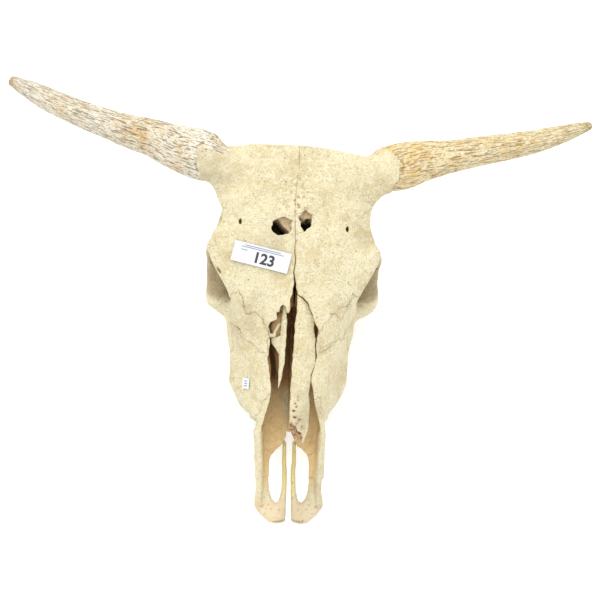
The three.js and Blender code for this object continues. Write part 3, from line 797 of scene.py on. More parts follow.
def claim(bone, s, y, z):
    """Distance to a bone's own block, s being the distance from the midline crack."""
    if bone == "lacrimal":
        return np.maximum(outline_distance(s, y, LACRIMAL_PLAN), LACRIMAL_FLOOR - z)
    inner, outer = SIDE_REACH[bone]
    near = outline_distance(y, z, SIDE_OUTLINES[bone])
    return np.maximum(near, np.maximum(inner - s, s - outer))


BROW_SLITS = [((-68.8, 367, 2), (2.2, 4.4, 14)), ((61.8, 360.5, 3), (2.1, 4.2, 14))]
ORBIT = ((95, 304, -45), (48, 31, 28))
NAPE = ((0, 462, -66), (46, 20, 30))
SOCKET_SLIT = ((-93, 307, -20), (2.2, 8, 16))
FLOOR_GAP = 0.02  # between the feet and the floor
NASAL_BED_FLOOR = -17
NOSE_NOTCH = [(20, 60), (152, 60), (152, -10), (136, -17), (110, -22), (80, -30), (50, -37), (20, -40)]


def hole_depth(x, y):
    """How deep the holes in the brow are: 1 at the open corner, 0 on the wall that climbs from it."""
    return np.clip(0.4 + np.where(x < 0, (344 - x - y) / 9, (369 - y) / 8), 0, 1)


def brow_hole(x, y, z):
    """Distance to the two holes broken through the brow."""
    drills = [outline_distance(x, y, hole) for hole in BROW_HOLES]
    floor = -BROW_HOLE_SHALLOW - BROW_HOLE_FALL * hole_depth(x, y)
    return np.maximum(np.minimum(*drills), floor - z)


# What is shaved off, or with a minus added to, the skull's sides along Y and its poll along X.
# On the sides it grows from nothing at SHAVE_START from the midline to all of it SHAVE_WIDTH
# further out, and both of these widen with Y between the two places in SHAVE_SPREAD.
SHAVE_START, START_SLOPE = 33, 0.26
SHAVE_WIDTH, WIDTH_SLOPE = 12, 0.16
SHAVE_SPREAD = (115, 195)
CHEEK_TRIM = {
    LEFT: [
        (100, 0), (108, 1.5), (121, 4.5), (131, 3), (142, 2), (160, 3), (176, 5), (190, 4), (206, 2.8),
        (222, 3), (238, 4), (247, 4.5), (256, 1.5), (266, 0),
    ],
    RIGHT: [
        (106, 0), (115, 4), (121, 5.5), (126, 0), (131, -3), (152, -2.5), (166, -2.5), (178, 0), (196, -1.5),
        (214, -1.5), (228, 0.3), (238, 1.5), (246, 3), (254, 4), (259, 3), (264, 0),
    ],
}
BROW_TRIM = {
    LEFT: [(326, 0), (338, 5), (350, 6), (364, 4.5), (376, 1), (388, 0)],
    RIGHT: [(356, 0), (368, 3), (382, 2.5), (392, 1), (404, 2.5), (416, 3), (426, 0)],
}
POLL_TRIM = [
    (-108, 0), (-102, 2), (-93, 6), (-82, 2), (-70, -2), (-20, -4.5), (20, -3.5), (48, -1), (64, 1.5),
    (80, 4.5), (94, 5.5), (106, 0),
]


def column(rows, places):
    """A smooth curve through rows of (place, value), read at places."""
    return hermite(places, *np.array(rows, float).T).astype(np.float32)


def whole_cranium(space):
    """The cranium on a fine grid: hollowed, with orbits, ripples and openings cut sharply."""
    field = fine_field(space, hull)
    brow = ramp(space.z, -75, 30)
    along = np.clip(space.y, *SHAVE_SPREAD) - SHAVE_SPREAD[0]
    for side in (LEFT, RIGHT):
        outer = side * space.x - SHAVE_START - START_SLOPE * along
        outer = np.clip(outer / (SHAVE_WIDTH + WIDTH_SLOPE * along), 0, 1)
        outer = outer * outer * (3 - 2 * outer)
        field += outer * column(CHEEK_TRIM[side], space.axes[1])[None, :, None]
        field += outer * brow * column(BROW_TRIM[side], space.axes[1])[None, :, None]
    poll = column(POLL_TRIM, space.axes[0])[:, None, None]
    field += brow * poll * ramp(space.y, 444, 12)
    field = carve(field, fine_field(space, nose_hollow), 3)
    for side in (LEFT, RIGHT):
        egg(space, field, *ORBIT, side, 6, turn_z=12, carving=True)
        chain(space, field, ORBIT_STRUT[side], side, 4, up=(0, 1, 0))
        chain(space, field, PTERYGOID, side, 5)
    egg(space, field, *NAPE, LEFT, 10, carving=True)
    chain(space, field, SPINAL_HOLE, LEFT, 4, carving=True)
    field += waves(space, (0.4, 24, 1), (0.2, 9, 2), (0.08, 3.6, 3))
    x = space.x + waves(space, (0.9, 4, 4), flat=True)
    y = space.y + waves(space, (0.9, 4, 5), flat=True)
    for side in (LEFT, RIGHT):
        bed = outline_distance(side * x, y, NASAL_BED[side])
        field = carve(field, np.maximum(bed, NASAL_BED_FLOOR - space.z), 0.8)
        field = np.maximum(field, -outline_distance(side * x, y, PALATE_EDGE))
    field = carve(field, outline_distance(y, space.z, NOSE_NOTCH), 1.5)
    torn = waves(space, (1.6, 2.8, 6), flat=True)
    field = carve(field, brow_hole(x + torn, y - torn, space.z), 1.0)
    for slit in BROW_SLITS:
        egg(space, field, *slit, LEFT, 1.0, carving=True)
    egg(space, field, *SOCKET_SLIT, LEFT, 1.0, turn_z=35, carving=True)
    rest_z = space.y * turn[2, 1] + space.z * turn[2, 2] + shift[2] / MM
    return np.maximum(field, FLOOR_GAP - rest_z).astype(np.float32)


def parted(space, field, bone, side):
    """What one bone has of the field: its own block less the blocks claimed before it. Also the
    distance to the seam around it."""
    near = field < 2.5
    index = np.nonzero(near)
    place = [axis[n] for axis, n in zip(space.axes, index)]
    jag = [waves(space, (3.2, 9, 20 + n), (2.2, 4, 30 + n), (1.2, 2.2, 40 + n))[near] for n in range(3)]
    x, y, z = (p + j for p, j in zip(place, jag))
    middle = place[0] + 0.12 * jag[0] - path_value(CRACK, place[1])
    half_crack = path_value(CRACK_WIDTH, place[1]) / 2
    if side is None:
        s = np.abs(x)
        own = np.full(x.shape, -9.0, np.float32)
    else:
        s = side * x
        own = half_crack - side * middle
    if bone in CLAIMS:
        own = np.maximum(own, claim(bone, s, y, z) + SEAM / 2)
    for other in CLAIMS[: CLAIMS.index(bone)] if bone in CLAIMS else CLAIMS:
        own = np.maximum(own, SEAM / 2 - claim(other, s, y, z))
    part = field.copy()
    part[near] = np.maximum(field[near], own)
    border = np.full(field.shape, -9.0, np.float32)
    border[near] = own
    return part, border


def bone_stains(space, border):
    """Gives, for points, where bone is stained or painted with shade: brown in the nose, part
    painted shade under its roof; painted shade in hollows and orbits; painted black shadow in the
    deep corners of holes and in the nose's left cavity; stains at seams.
    """
    depth_field, nose_field = -fine_field(space, hull), fine_field(space, nose_hollow)

    def stains(points):
        x, y, z = points.T
        depth = read(depth_field, space, points)
        nose = ramp(read(nose_field, space, points), 1.4, -1) * ramp(depth, 2.5, 2)
        hole = ramp(brow_hole(x, y, z), 1.5, -1) * ramp(depth, 1, 3)
        bed = np.minimum(*[outline_distance(side * x, y, NASAL_BED[side]) for side in (LEFT, RIGHT)])
        bed = ramp(bed, 1.5, -1) * ramp(depth, 2, 3) * ramp(y, 168, 12)
        # darker towards the back of the nose, under its roof: part painted shade
        back = ramp(y, 150, 22)
        # painted shade in the orbits, below the brow's rim
        orbit_shade = np.sqrt(((np.abs(x) - 95) / 50) ** 2 + ((y - 304) / 33) ** 2 + ((z + 45) / 34) ** 2)
        orbit_shade = 0.6 * ramp(orbit_shade, 1.2, -0.2) * ramp(z, -22, -8)
        # the left cavity of the nose, under its roof, given painted black shadow
        cavity_shade = ramp(x, -17, -3) * ramp(y, 168, 8) * ramp(y, 222, -6)
        pale_pocket = np.where((x < -9) & (y > 222), 0.35, 1)
        brow_scar = np.exp(-((x / 20) ** 2) - ((y - 392) / 26) ** 2)
        crack_scar = np.exp(-((x / 4) ** 2) - ((y - 414) / 24) ** 2)
        return {
            "inner": np.maximum(np.maximum(nose, 0.2 * hole), bed),
            "rosy": hole,
            "dark": np.maximum(nose * back, bed * np.where(x > 8, 0.65, 1)) * pale_pocket,
            # painted shadow: black in each brow hole's deep corner and in the nose's left cavity
            "deep": np.maximum(hole * ramp(hole_depth(x, y), 0.4, 0.5), 0.6 * nose * cavity_shade),
            # painted shade in hollows, less inside the brow holes, and in the orbits
            "sunk": np.maximum(ramp(depth, 3, 9) * (1 - hole), orbit_shade),
            "pitted": np.maximum(brow_scar, crack_scar),
            "seam": np.exp(np.minimum(read(border, space, points), 0) / 0.5),
        }

    return stains


def bone_space(bone, side, cell):
    low, high = (np.array(corner, float) for corner in BONE_BOXES[bone])
    if side == RIGHT:
        low[0], high[0] = -high[0], -low[0]
    return Space(low, high, cell)


def side_name(bone, side):
    return bone + {LEFT: "_left", RIGHT: "_right", None: ""}[side]


def make_bone(bone, side):
    """One bone cut from the cranium; a frontal bone also ends in a ragged lip at the horn core."""
    space = bone_space(bone, side, CELL)
    field = whole_cranium(space)
    if bone == "frontal":
        x = side * space.x + waves(space, (2.4, 8, 50), (2, 3.6, 51))
        y = space.y + waves(space, (2, 3.6, 52))
        burr = outline_distance(x, y, HORN_PLAN[side])
        lip = 0.9 * np.exp(-np.abs(burr) / 3) * (side * space.x > 80)
        field = np.maximum(field - 0.2 - lip, -burr)
    part, border = parted(space, field, bone, side)
    slot = "jaw_and_teeth" if bone == "maxilla" else "bone"
    name = side_name(bone, side)
    grown(name + "_bone", part, space, slot, [name], BONE, bone_stains(space, border))


for bone in ("frontal", "lacrimal", "cheekbone", "temporal", "maxilla", "palatine"):
    for side in (LEFT, RIGHT):
        make_bone(bone, side)
for bone in ("occipital", "sphenoid"):
    make_bone(bone, None)


# ---------------------------------------------------------------- incisive bones
# The paired bones at the tip of the muzzle: a flat body in front with a slot behind it, an outer
# bar that climbs the side of the nose, and a slender rod beside the midline.
FINE = 1.0
MUZZLE_TIP = [  # x, y from above
    (3.2, 6), (5, -7), (15, -10), (24, -9), (36, 1), (43.5, 11), (43.5, 21), (41.8, 32), (42.3, 45),
    (43.5, 60), (45, 74), (26.5, 74), (26, 50), (25, 32), (21.5, 21), (16, 15), (12, 18), (9, 30),
    (8.4, 95), (4, 91), (2.2, 30),
]
PLATE_TOP = -45  # height of the upper face at y 0
PLATE_SLOPE = -0.14
PLATE_THICKNESS = 8
PLATE_ROUND = 4.5  # how far the plate's rim drops below its upper face
INCISIVE_WING = [
    (37.5, 16, -50, 4, 6), (37, 34, -49, 4.2, 9), (37.2, 56, -48, 4.4, 13),
    (38, 82, -46, 4.4, 17), (39, 106, -44, 4.4, 22),
]
LIP_GROOVE = [(5, -4.5, -47, 0.8, 2), (12, -6.5, -47, 1, 2.2), (18, -7, -47, 0.7, 2)]
MUZZLE_PITS = [
    ((12, 8, -46.5), (1, 1.2, 2)), ((22, 9, -46.5), (0.9, 0.9, 2)), ((34, 12, -47), (1.2, 1, 2.5)),
    ((37, 6, -46), (0.8, 0.8, 2)), ((30, 3, -46), (1.4, 0.7, 1.6)), ((26, 14, -47.5), (0.8, 0.8, 2)),
]
BONE_BOXES["incisive"] = ((-2, -16, -96), (74, 160, -2))


def make_incisive(side):
    """The end of the cranium's bone there, with the plate, the bar and the rod melted on."""
    space = bone_space("incisive", side, FINE)
    field, border = parted(space, whole_cranium(space), "incisive", side)
    wave = waves(space, (0.5, 14, 60), (0.25, 5, 61))
    x, y = side * space.x + wave[:, :, :1], space.y + wave[:, :, 1:2]
    top = PLATE_TOP + PLATE_SLOPE * space.y
    edge = outline_distance(x, y, MUZZLE_TIP)
    top = top - PLATE_ROUND * np.exp(np.minimum(edge, 0) / 6)
    level = np.abs(space.z - top + PLATE_THICKNESS / 2) - PLATE_THICKNESS / 2 + wave
    plate = carve(edge, -level, 3.0)
    field = melt(field, plate, 3)
    chain(space, field, INCISIVE_WING, side, 3)
    chain(space, field, LIP_GROOVE, side, 0.6, carving=True)
    for pit in MUZZLE_PITS:
        egg(space, field, *pit, side, 0.6, carving=True)
    name = side_name("incisive", side)
    find_stains = bone_stains(space, border)

    def stains(points):
        values = find_stains(points)
        x, y = side * points[:, 0], points[:, 1]
        shelf = ramp(x, 12, 4)
        wall = 0.9 * ramp(x, 34.5, -2.5) * ramp(y, 68, -8)
        values["inner"] = np.maximum(values["inner"], wall) * shelf * ramp(y, 26, 30)
        values["dark"] *= shelf
        # less painted shade on the muzzle
        values["sunk"] *= 0.35
        values["rosy"] = 0.8 * ramp(y, 26, -14)
        # painted shade: black in the muzzle's pits and along its lip groove
        pits = sum(
            np.exp(-(((x - cx) / rx) ** 2 + ((y - cy) / ry) ** 2) / 1.44)
            for (cx, cy, _), (rx, ry, _) in MUZZLE_PITS
        )
        lip = np.interp(x, *np.array(LIP_GROOVE)[:, :2].T)
        groove = np.exp(-((y - lip) ** 2)) * (np.abs(x - 11.5) < 8)
        values["deep"] = np.clip(0.35 * pits + 0.4 * groove, 0, 1)
        values["golden"] = (1 - shelf) * ramp(y, 20, 20)
        return values

    grown(name + "_bone", field, space, "bone", [name], BONE, stains)


for side in (LEFT, RIGHT):
    make_incisive(side)


# ---------------------------------------------------------------- nasal bones
# Thin curved sheets that roof the nose. The left one is whole but for its broken tip; of the
# right one a splinter is left, and a scrap of plate beside it.
THIN = 0.8
LEFT_NASAL_EDGE = [
    (2.6, 280), (7.7, 276), (16.1, 268.2), (20.3, 259.8), (24.6, 247), (24.4, 236.7), (26.6, 225),
    (27.3, 205.6), (26.8, 194), (22.3, 181), (21.6, 171), (20.3, 158), (21.5, 146), (21.3, 133),
    (20.4, 113), (15.8, 98.8), (12.3, 96), (10.2, 108), (8.7, 98.7), (6.4, 106), (3, 100),
    (-0.7, 110), (-3.1, 121), (-2.9, 164.5), (-1.9, 181), (-1.5, 197), (-0.2, 213.5),
    (0.2, 230), (0.7, 244.5), (2.5, 259), (2.5, 274),
]
LEFT_NASAL = [  # y, inner x, outer x, z at the inner edge, z at the outer edge
    (280, 2.5, 8, 3, 1.5), (262, 1, 18, 2, -1), (243, 0.5, 22.5, 1, -4), (218, -0.5, 26.5, 0, -6),
    (182, -1.2, 24, -3, -9), (155, -1.8, 21, -5, -11), (126, -2.6, 19.5, -7, -13),
    (96, -1, 18, -11, -14),
]
SPLINTER_EDGE = [
    (9.6, 268), (13.8, 268), (14.8, 257), (16.7, 229), (22, 226), (28.6, 227.3), (26.8, 219), (22, 212.5),
    (18.2, 205), (17.6, 196.5), (18, 180), (18.8, 162), (13.1, 180), (11, 196.5), (10.2, 213),
    (9.3, 229), (9.1, 257),
]
SPLINTER = [
    (268, 9, 15, -5, -6), (229, 9.2, 17, -4, -8), (205, 10.5, 18, -4, -8), (180, 13, 18, -6, -8),
    (160, 18, 19, -7, -8),
]


def roof(space, side, edge, rows, thickness, crown):
    """A curved sheet: inside its edge in plan, below an upper face that rises from a straight
    line between its two sides by crown times the width, and above that face less thickness."""
    x = side * space.x + waves(space, (0.5, 4, 70), flat=True)
    y = space.y + waves(space, (0.6, 4, 71), flat=True)
    knots, *curves = np.array(sorted(rows), float).T
    inner, outer, low, high = (hermite(space.axes[1], knots, v)[None, :, None] for v in curves)
    across = (side * space.x - inner) / (outer - inner)
    held = np.clip(across, 0, 1)
    top = low + (high - low) * across + 4 * crown * (outer - inner) * held * (1 - held)
    top = top + waves(space, (0.35, 12, 72), (0.15, 4, 73), flat=True)
    level = np.abs(space.z - top + thickness / 2) - thickness / 2
    return carve(outline_distance(x, y, edge), -level, 1.2).astype(np.float32)


TIP_POCKET = [
    (-4, 122), (-1, 124), (2, 119), (5, 118), (7, 112), (11, 110), (13, 104), (11, 96), (3, 95), (-4, 108),
]
NASAL_PITS = [
    ((6.7, 154.4, -2.5), (1.2, 1.2, 2)), ((6.8, 150.2, -3), (1.1, 1.1, 2)),
    ((3.5, 146, -4), (1.2, 0.8, 1.6)), ((9.5, 126.2, -4.5), (2.4, 1.8, 3.5)),
    ((2, 137, -5.5), (2, 1.4, 2)), ((5, 142, -4.5), (1, 1, 1.6)), ((3.5, 129.5, -6.5), (2.4, 1.6, 2.2)),
    ((12.5, 117, -7.5), (1.6, 2.2, 2)), ((5.5, 121.5, -8), (2.2, 1.8, 2)),
]
nasal_space = Space((-6, 90, -30), (32, 286, 12), THIN)
nasal = roof(nasal_space, LEFT, LEFT_NASAL_EDGE, LEFT_NASAL, 4.5, 0.2)
for pit in NASAL_PITS:
    egg(nasal_space, nasal, *pit, LEFT, 0.6, carving=True)
pocket = outline_distance(nasal_space.x + ripple(nasal_space, 4, 75), nasal_space.y, TIP_POCKET)
pocket_floor = -9.6 - 0.1 * (112 - nasal_space.y) - waves(nasal_space, (1.6, 3, 76))
nasal = carve(nasal, np.maximum(pocket, pocket_floor - nasal_space.z), 0.5)


def nasal_stains(points):
    x, y, z = points.T
    pocket = outline_distance(x, y, TIP_POCKET)
    pits = sum(
        np.exp(-(((x - cx) / (1.3 * rx)) ** 2) - ((y - cy) / (1.3 * ry)) ** 2)
        for (cx, cy, _), (rx, ry, _) in NASAL_PITS
    )
    seam = np.exp(outline_distance(x, y, LEFT_NASAL_EDGE) / 0.5)
    return {
        "seam": 0.4 * seam * ramp(y, 140, 4),
        "raw": np.clip(ramp(pocket, 1.5, -1.5) * ramp(z, -7, -1.5) + 0.8 * pits, 0, 1),
        # darker lower down and further back: part stain, part painted shade beneath the bone
        "dark": ramp(-z - 0.04 * (280 - y), 7, 2) * ramp(y, 150, 22),
    }


grown("nasal_left_bone", nasal, nasal_space, "bone", ["nasal_left"], BONE, nasal_stains)
splinter_space = Space((-33, 152, -20), (-4, 274, 4), THIN)
splinter = roof(splinter_space, RIGHT, SPLINTER_EDGE, SPLINTER, 3, 0.25)
grown("nasal_right_bone", splinter, splinter_space, "bone", ["nasal_right"], BONE)


# ---------------------------------------------------------------- inner bones of the nose
# The vomer is the keel along the floor of the nose; the concha is a rolled leaf of thin bone
# that hangs inside the right half.
VOMER = [(0, 112, -60, 3, 4), (0, 150, -66, 3, 7), (0, 196, -74, 3, 10), (0, 236, -79, 3, 9)]
CONCHA = [
    (15, 253, -20, 5, 5), (20, 241, -21, 8, 7), (20, 226, -25, 7, 8), (19, 206, -30, 5, 7),
    (18, 186, -33, 3, 4),
]


def make_inner(name, low, high, rows, side, pale):
    """A bar of inner bone, browner towards the back, part stain and part painted shade under the
    nose's roof; pale is how much of that brown is left past the splinter's root, and what it lacks
    of 1 is painted as black shadow on the part in front."""
    space = Space(low, high, FINE)
    field = np.full(space.shape, 50, np.float32)
    chain(space, field, rows, side, 0.5)
    field += waves(space, (0.6, 7, 80), (0.3, 3, 81))

    def stains(points):
        y = points[:, 1]
        return {
            "inner": np.ones(len(points)),
            # browner towards the back: part stain, part painted shade
            "dark": np.where(y > 222, pale, 1) * ramp(y, 128, 40),
            # painted shadow: black on the concha in front of the splinter's root
            "deep": 0.55 * (1 - pale) * ramp(y, 220, -6),
        }

    grown(name + "_bone", field, space, "inner_bone", [name], BONE, stains)


make_inner("vomer", (-6, 104, -94), (6, 246, -52), VOMER, LEFT, 1)
make_inner("concha_right", (-32, 178, -42), (-6, 262, -10), CONCHA, RIGHT, 0.2)


# ---------------------------------------------------------------- curled leaf
# A scrap of the concha's thin leaf that curls up beside the splinter of the right nasal bone.
LEAF_EDGE = [
    (30.5, 239), (33, 238), (30.8, 226), (27, 226.8), (22.5, 226), (19.6, 236), (15.6, 243),
    (16.4, 246), (21, 242.5), (24, 236), (25.6, 231), (28.6, 231),
]
LEAF = [(250, 14, 32, -9, -7), (240, 14, 32, -11, -7), (224, 14, 32, -14, -8)]
leaf_space = Space((-36, 218, -24), (-12, 252, 0), THIN)
leaf = roof(leaf_space, RIGHT, LEAF_EDGE, LEAF, 2.2, 0.0)
grown("curled_leaf", leaf, leaf_space, "inner_bone", ["concha_right"], BONE)


# ---------------------------------------------------------------- cheek teeth
# Six on each side, three premolars with one lobe and three molars with two, tall worn crowns
# with the enamel folded in crescents on the grinding face.
TEETH = [  # y, x, length, width
    (123, 45, 14, 12), (137, 49, 17, 16), (153, 51.5, 18, 19), (171, 52, 23, 21), (194, 51, 26, 22),
    (220, 49, 28, 21),
]
BITE_Z = -52.6  # height of the grinding faces, carried forward to y 0
BITE_SLOPE = -0.384
TOOTH_ROOT = 30
TOOTH_SPLAY = 0.16
MOLARS_FROM = 3
ENAMEL = bone_finish("tooth_enamel", seen(244, 232, 198), seen(204, 172, 116))
TOOTH_AROUND = 72
TOOTH_RINGS = 26


def tooth(y, x, length, width, lobes):
    """A crown as rings: an oval pinched between its lobes, from the root to the grinding face,
    then rings shrinking to the middle of that face, raised and sunk in crescents."""
    angle = np.linspace(0, 2 * math.pi, TOOTH_AROUND, endpoint=False)
    squarish = (np.abs(np.cos(angle)) ** 4 + np.abs(np.sin(angle)) ** 4) ** -0.25
    pinch = 1 - 0.12 * np.exp(-((np.cos(angle) / 0.22) ** 2)) * (lobes > 1)
    pinch = pinch + 0.035 * np.cos(angle * 4 * lobes)
    ring_x = width / 2 * squarish * np.sin(angle) * pinch
    ring_y = (length / 2 - 0.4) * squarish * np.cos(angle)
    height = np.linspace(TOOTH_ROOT, 0, TOOTH_RINGS)
    shrink = np.linspace(1, 0.06, TOOTH_RINGS)
    size = np.concatenate([1 - 0.1 * height / TOOTH_ROOT, shrink[1:]])
    level = np.concatenate([height, np.zeros(TOOTH_RINGS - 1)])
    face = (size[:, None] < 0.995) & (np.arange(len(size))[:, None] >= TOOTH_RINGS)
    px = ring_x * size[:, None]
    py = ring_y * size[:, None]
    crescent = np.cos(px / width * 4 * math.pi) * np.cos(py / length * 2 * math.pi * lobes)
    edge = np.clip((1 - size[:, None]) * 6, 0, 1)
    rise = np.where(face, 1.6 * crescent * edge - 0.6 * edge, 0)
    points = np.stack([
        x + px - TOOTH_SPLAY * level[:, None],
        y + py,
        BITE_Z + BITE_SLOPE * (y + py) + level[:, None] - rise,
    ], axis=2)
    return points.reshape(-1, 3), (rise.ravel() < -0.9).astype(float)


def tube_faces(rings, around):
    """Quads between rings of points, and a fan of one polygon at each end."""
    start = np.arange(rings - 1)[:, None] * around + np.arange(around)[None, :]
    ahead = np.arange(rings - 1)[:, None] * around + (np.arange(around)[None, :] + 1) % around
    quads = np.stack([start, ahead, ahead + around, start + around], axis=2).reshape(-1, 4)
    last = (rings - 1) * around
    return quads.tolist() + [list(range(around))[::-1], list(range(last, last + around))]


def make_teeth(side):
    """A row of crowns as one piece, mirrored with its faces turned on the left."""
    points, faces, worn, count = [], [], [], 0
    for n, (y, x, length, width) in enumerate(TEETH):
        shape, dark = tooth(y, x, length, width, 2 if n >= MOLARS_FROM else 1)
        shape[:, 0] *= side
        ring = tube_faces(2 * TOOTH_RINGS - 1, TOOTH_AROUND)
        if side == LEFT:
            ring = [face[::-1] for face in ring]
        faces += [[corner + count for corner in face] for face in ring]
        points.append(shape)
        worn.append(dark)
        count += len(shape)
    name = side_name("teeth", side)
    piece(name, np.concatenate(points), faces, "jaw_and_teeth", [side_name("maxilla", side)],
          ENAMEL, inner=np.concatenate(worn) * 0.6)


for side in (LEFT, RIGHT):
    make_teeth(side)


# ---------------------------------------------------------------- horn cores
# The bony cores that the horn sheaths grew on: tapering, bent upwards, with long grooves and
# small pits where vessels ran. The right one has lost its tip.
HORNS = {  # x, y, z, half width across the horn in plan, half width through it
    LEFT: [
        (84, 430, -26, 18, 20), (98, 433, -25, 20, 22), (107, 437, -24, 26, 24),
        (127, 441, -22, 29, 25), (156, 449, -17, 25, 23), (185, 454.3, -12, 21.2, 20.5),
        (214, 459.4, -6, 18.8, 18.5), (242, 464, 0, 16.9, 16.6), (271, 469.6, 6, 15, 14.8),
        (299, 476.5, 12, 13.1, 12.8), (330, 485.5, 18, 9.5, 9.5), (356, 494, 23, 4.5, 4.5),
    ],
    RIGHT: [
        (84, 441, -26, 15, 20), (95, 443.5, -25.5, 21, 22), (106, 446, -25, 29.5, 25),
        (121, 450, -23, 31, 26), (150, 457.6, -18, 27, 24), (179, 467, -12, 22.5, 22),
        (208, 473.8, -6, 19.5, 19), (236, 482, 0, 17.7, 17.4), (264, 490.8, 6, 15.9, 15.6),
        (292, 501.4, 11, 14.1, 13.8), (320, 514, 17, 11.6, 11.2), (346, 526.5, 21, 5.4, 5.4),
    ],
}
HORN_RINGS = 410
HORN_AROUND = 220
TIP_ROUND = {LEFT: 5.0, RIGHT: 2.5}  # length of the rounded end
HORN_SEED = {LEFT: 100, RIGHT: 200}
GRAIN_RADIUS = 26  # of the core that the pattern of the finish is wrapped round


def wrapped(rings, around, knots_along, knots_around, seed):
    """A smooth random sheet that closes on itself: random heights blended by cubic B-splines."""
    heights = np.random.default_rng(seed).uniform(-1, 1, (knots_along + 3, knots_around))
    heights = np.concatenate([heights[:, -1:], heights, heights[:, :2]], axis=1)
    along = spline_weights(np.linspace(0, knots_along - 1, rings), -1, 1, knots_along + 3)
    places = np.arange(around) * knots_around / around
    return 1.8 * along @ heights @ spline_weights(places, -1, 1, knots_around + 3).T


def horn_finish(name, light, patch, deep, rusty):
    """Rust where the attribute places it, then lines, painted shade in the grooves, and dashes and
    dots that run along the core.
    """
    f = Finish(name)
    grain = f.attribute("grain", "Vector")
    blotch = f.step(f.noise(70, 4, 0.6), 0.35, 0.65)
    lines = f.step(f.noise(300, 2, place=f.stretch(grain, 0.12, 1, 1)), 0.46, 0.7)
    dashes = f.step(f.noise(560, 2, place=f.stretch(grain, 0.15, 1, 1)), 0.56, 0.62)
    dots = f.step(f.noise(800, 2, place=f.stretch(grain, 0.4, 1, 1)), 0.58, 0.66)
    colour = f.layers(light, [
        (f.attribute("rust") * (0.3 + 0.7 * blotch), rusty),
        (f.step(f.noise(150, 3), 0.42, 0.66) * 0.4, PALE),
        (lines * 0.35, patch),
        # painted shade: the grooves darkened with the patch colour
        (f.step(f.attribute("groove"), 0.2, 1.0) * 0.3, patch),
        (dashes * 0.75, deep),
        (dots * 0.45, deep),
        (f.step(f.attribute("crevice"), 0.3, 0.9) * 0.65, STAIN),
    ])
    fibre = f.noise(900, 3, 0.6)
    f.set(Base_Color=colour, Roughness=0.78, Specular_IOR_Level=0.25,
          Normal=f.bump(fibre * 0.3 - dashes * 0.6 - dots * 0.5, 0.0009))
    return f.material


HORN = {
    LEFT: horn_finish(
        "horn_core_tan", seen(255, 244, 206), seen(226, 198, 142), seen(178, 140, 84), seen(240, 206, 140)
    ),
    RIGHT: horn_finish(
        "horn_core_grey", seen(255, 250, 234), seen(222, 212, 184), seen(150, 130, 96), seen(228, 186, 116)
    ),
}
RUSTY = {  # strength, place along the horn from 0 to 1, reach, angle round it
    LEFT: [(0.7, 0.5, 0.9, 1.6), (0.9, 0.18, 0.12, 2.2), (1.0, 1.0, 0.04, 1.6)],
    RIGHT: [
        (1.0, 0.42, 0.12, 1.2), (0.6, 0.22, 0.05, 2.6), (0.6, 0.75, 0.15, 1.0), (1.0, 1.0, 0.05, 1.6),
        (0.9, 0.06, 0.04, 0.6),
    ],
}


def make_horn(side):
    """Rings round a smooth spine, drawn in to a round tip and dented by grooves and pits."""
    rows = np.array(HORNS[side], float)
    rows[:, 0] *= side
    place = lengths(rows[:, :3])
    length = place[-1]
    at = np.linspace(0, length, HORN_RINGS)
    spine = hermite(at, place, rows)
    _, wide, deep = directions(spine[:, :3], (0, 0, 1))
    angle = np.linspace(0, 2 * math.pi, HORN_AROUND, endpoint=False)
    out = (
        wide[:, None] * np.cos(angle)[None, :, None] * spine[:, 3, None, None]
        + deep[:, None] * np.sin(angle)[None, :, None] * spine[:, 4, None, None]
    )
    close = TIP_ROUND[side]
    past = np.clip((at - (length - close)) / close, 0, 0.995)
    out *= np.sqrt(1 - past**2)[:, None, None]
    radius = np.linalg.norm(out, axis=2)
    shape = (HORN_RINGS, HORN_AROUND)
    knots = [  # along the core and around it
        (length / 9, 84), (length / 3.6, 96), (length / 2.2, 110), (length / 3.2, 70), (12, 7),
        (length / 3, 40),
    ]
    long_groove, short_groove, fine, pit, lump, breaks = (
        wrapped(*shape, int(knots_along), knots_around, HORN_SEED[side] + n)
        for n, (knots_along, knots_around) in enumerate(knots)
    )
    dent = 0.7 * np.clip(long_groove - 0.15, 0, 0.9) + 0.8 * np.clip(short_groove - 0.35, 0, 1)
    dent = dent + 1.2 * np.clip(pit - 0.75, 0, 0.8)
    smooth = spine[:, None, :3] + out
    burr = outline_distance(side * smooth[:, :, 0], smooth[:, :, 1], HORN_PLAN[side])
    crevice = np.exp(-((burr / 3) ** 2)) * np.clip(0.6 + 1.2 * breaks, 0, 1)
    taper = np.clip(radius / 18, 0.4, 1)
    relief = taper * (0.9 * lump + 0.25 * fine + 0.2 - dent) - 0.8 * crevice
    points = spine[:, None, :3] + out * (1 + relief / np.maximum(radius, 1))[:, :, None]
    grain = np.broadcast_arrays(at[:, None], GRAIN_RADIUS * np.cos(angle), GRAIN_RADIUS * np.sin(angle))
    along = (at / length)[:, None]
    rust = sum(
        share * np.exp(-(((along - middle) / reach) ** 2)) * (0.5 + 0.5 * np.cos(angle - turned))
        for share, middle, reach, turned in RUSTY[side]
    )
    name = side_name("horn_core", side)
    # groove carries the painted shade of the grooves
    piece(name + "_bone", points.reshape(-1, 3), tube_faces(*shape), "horn_core", [name], HORN[side],
          groove=np.clip(dent / 0.9, 0, 1).ravel(), rust=np.clip(rust, 0, 1).ravel(),
          crevice=crevice.ravel(), grain=MM * np.stack(grain, axis=2).reshape(-1, 3))


for side in (LEFT, RIGHT):
    make_horn(side)


# ---------------------------------------------------------------- paper labels
# A printed lot label stuck on the brow and a small price sticker on the cheek, both thin white
# paper bent to the bone beneath, with the print as thin solids of ink.
def paper_finish(name, colour):
    f = Finish(name)
    fibre = f.noise(900, 3)
    f.set(Base_Color=f.mix(fibre * 0.08, colour, seen(200, 204, 214)), Roughness=0.6,
          Normal=f.bump(fibre, 0.00005))
    return f.material


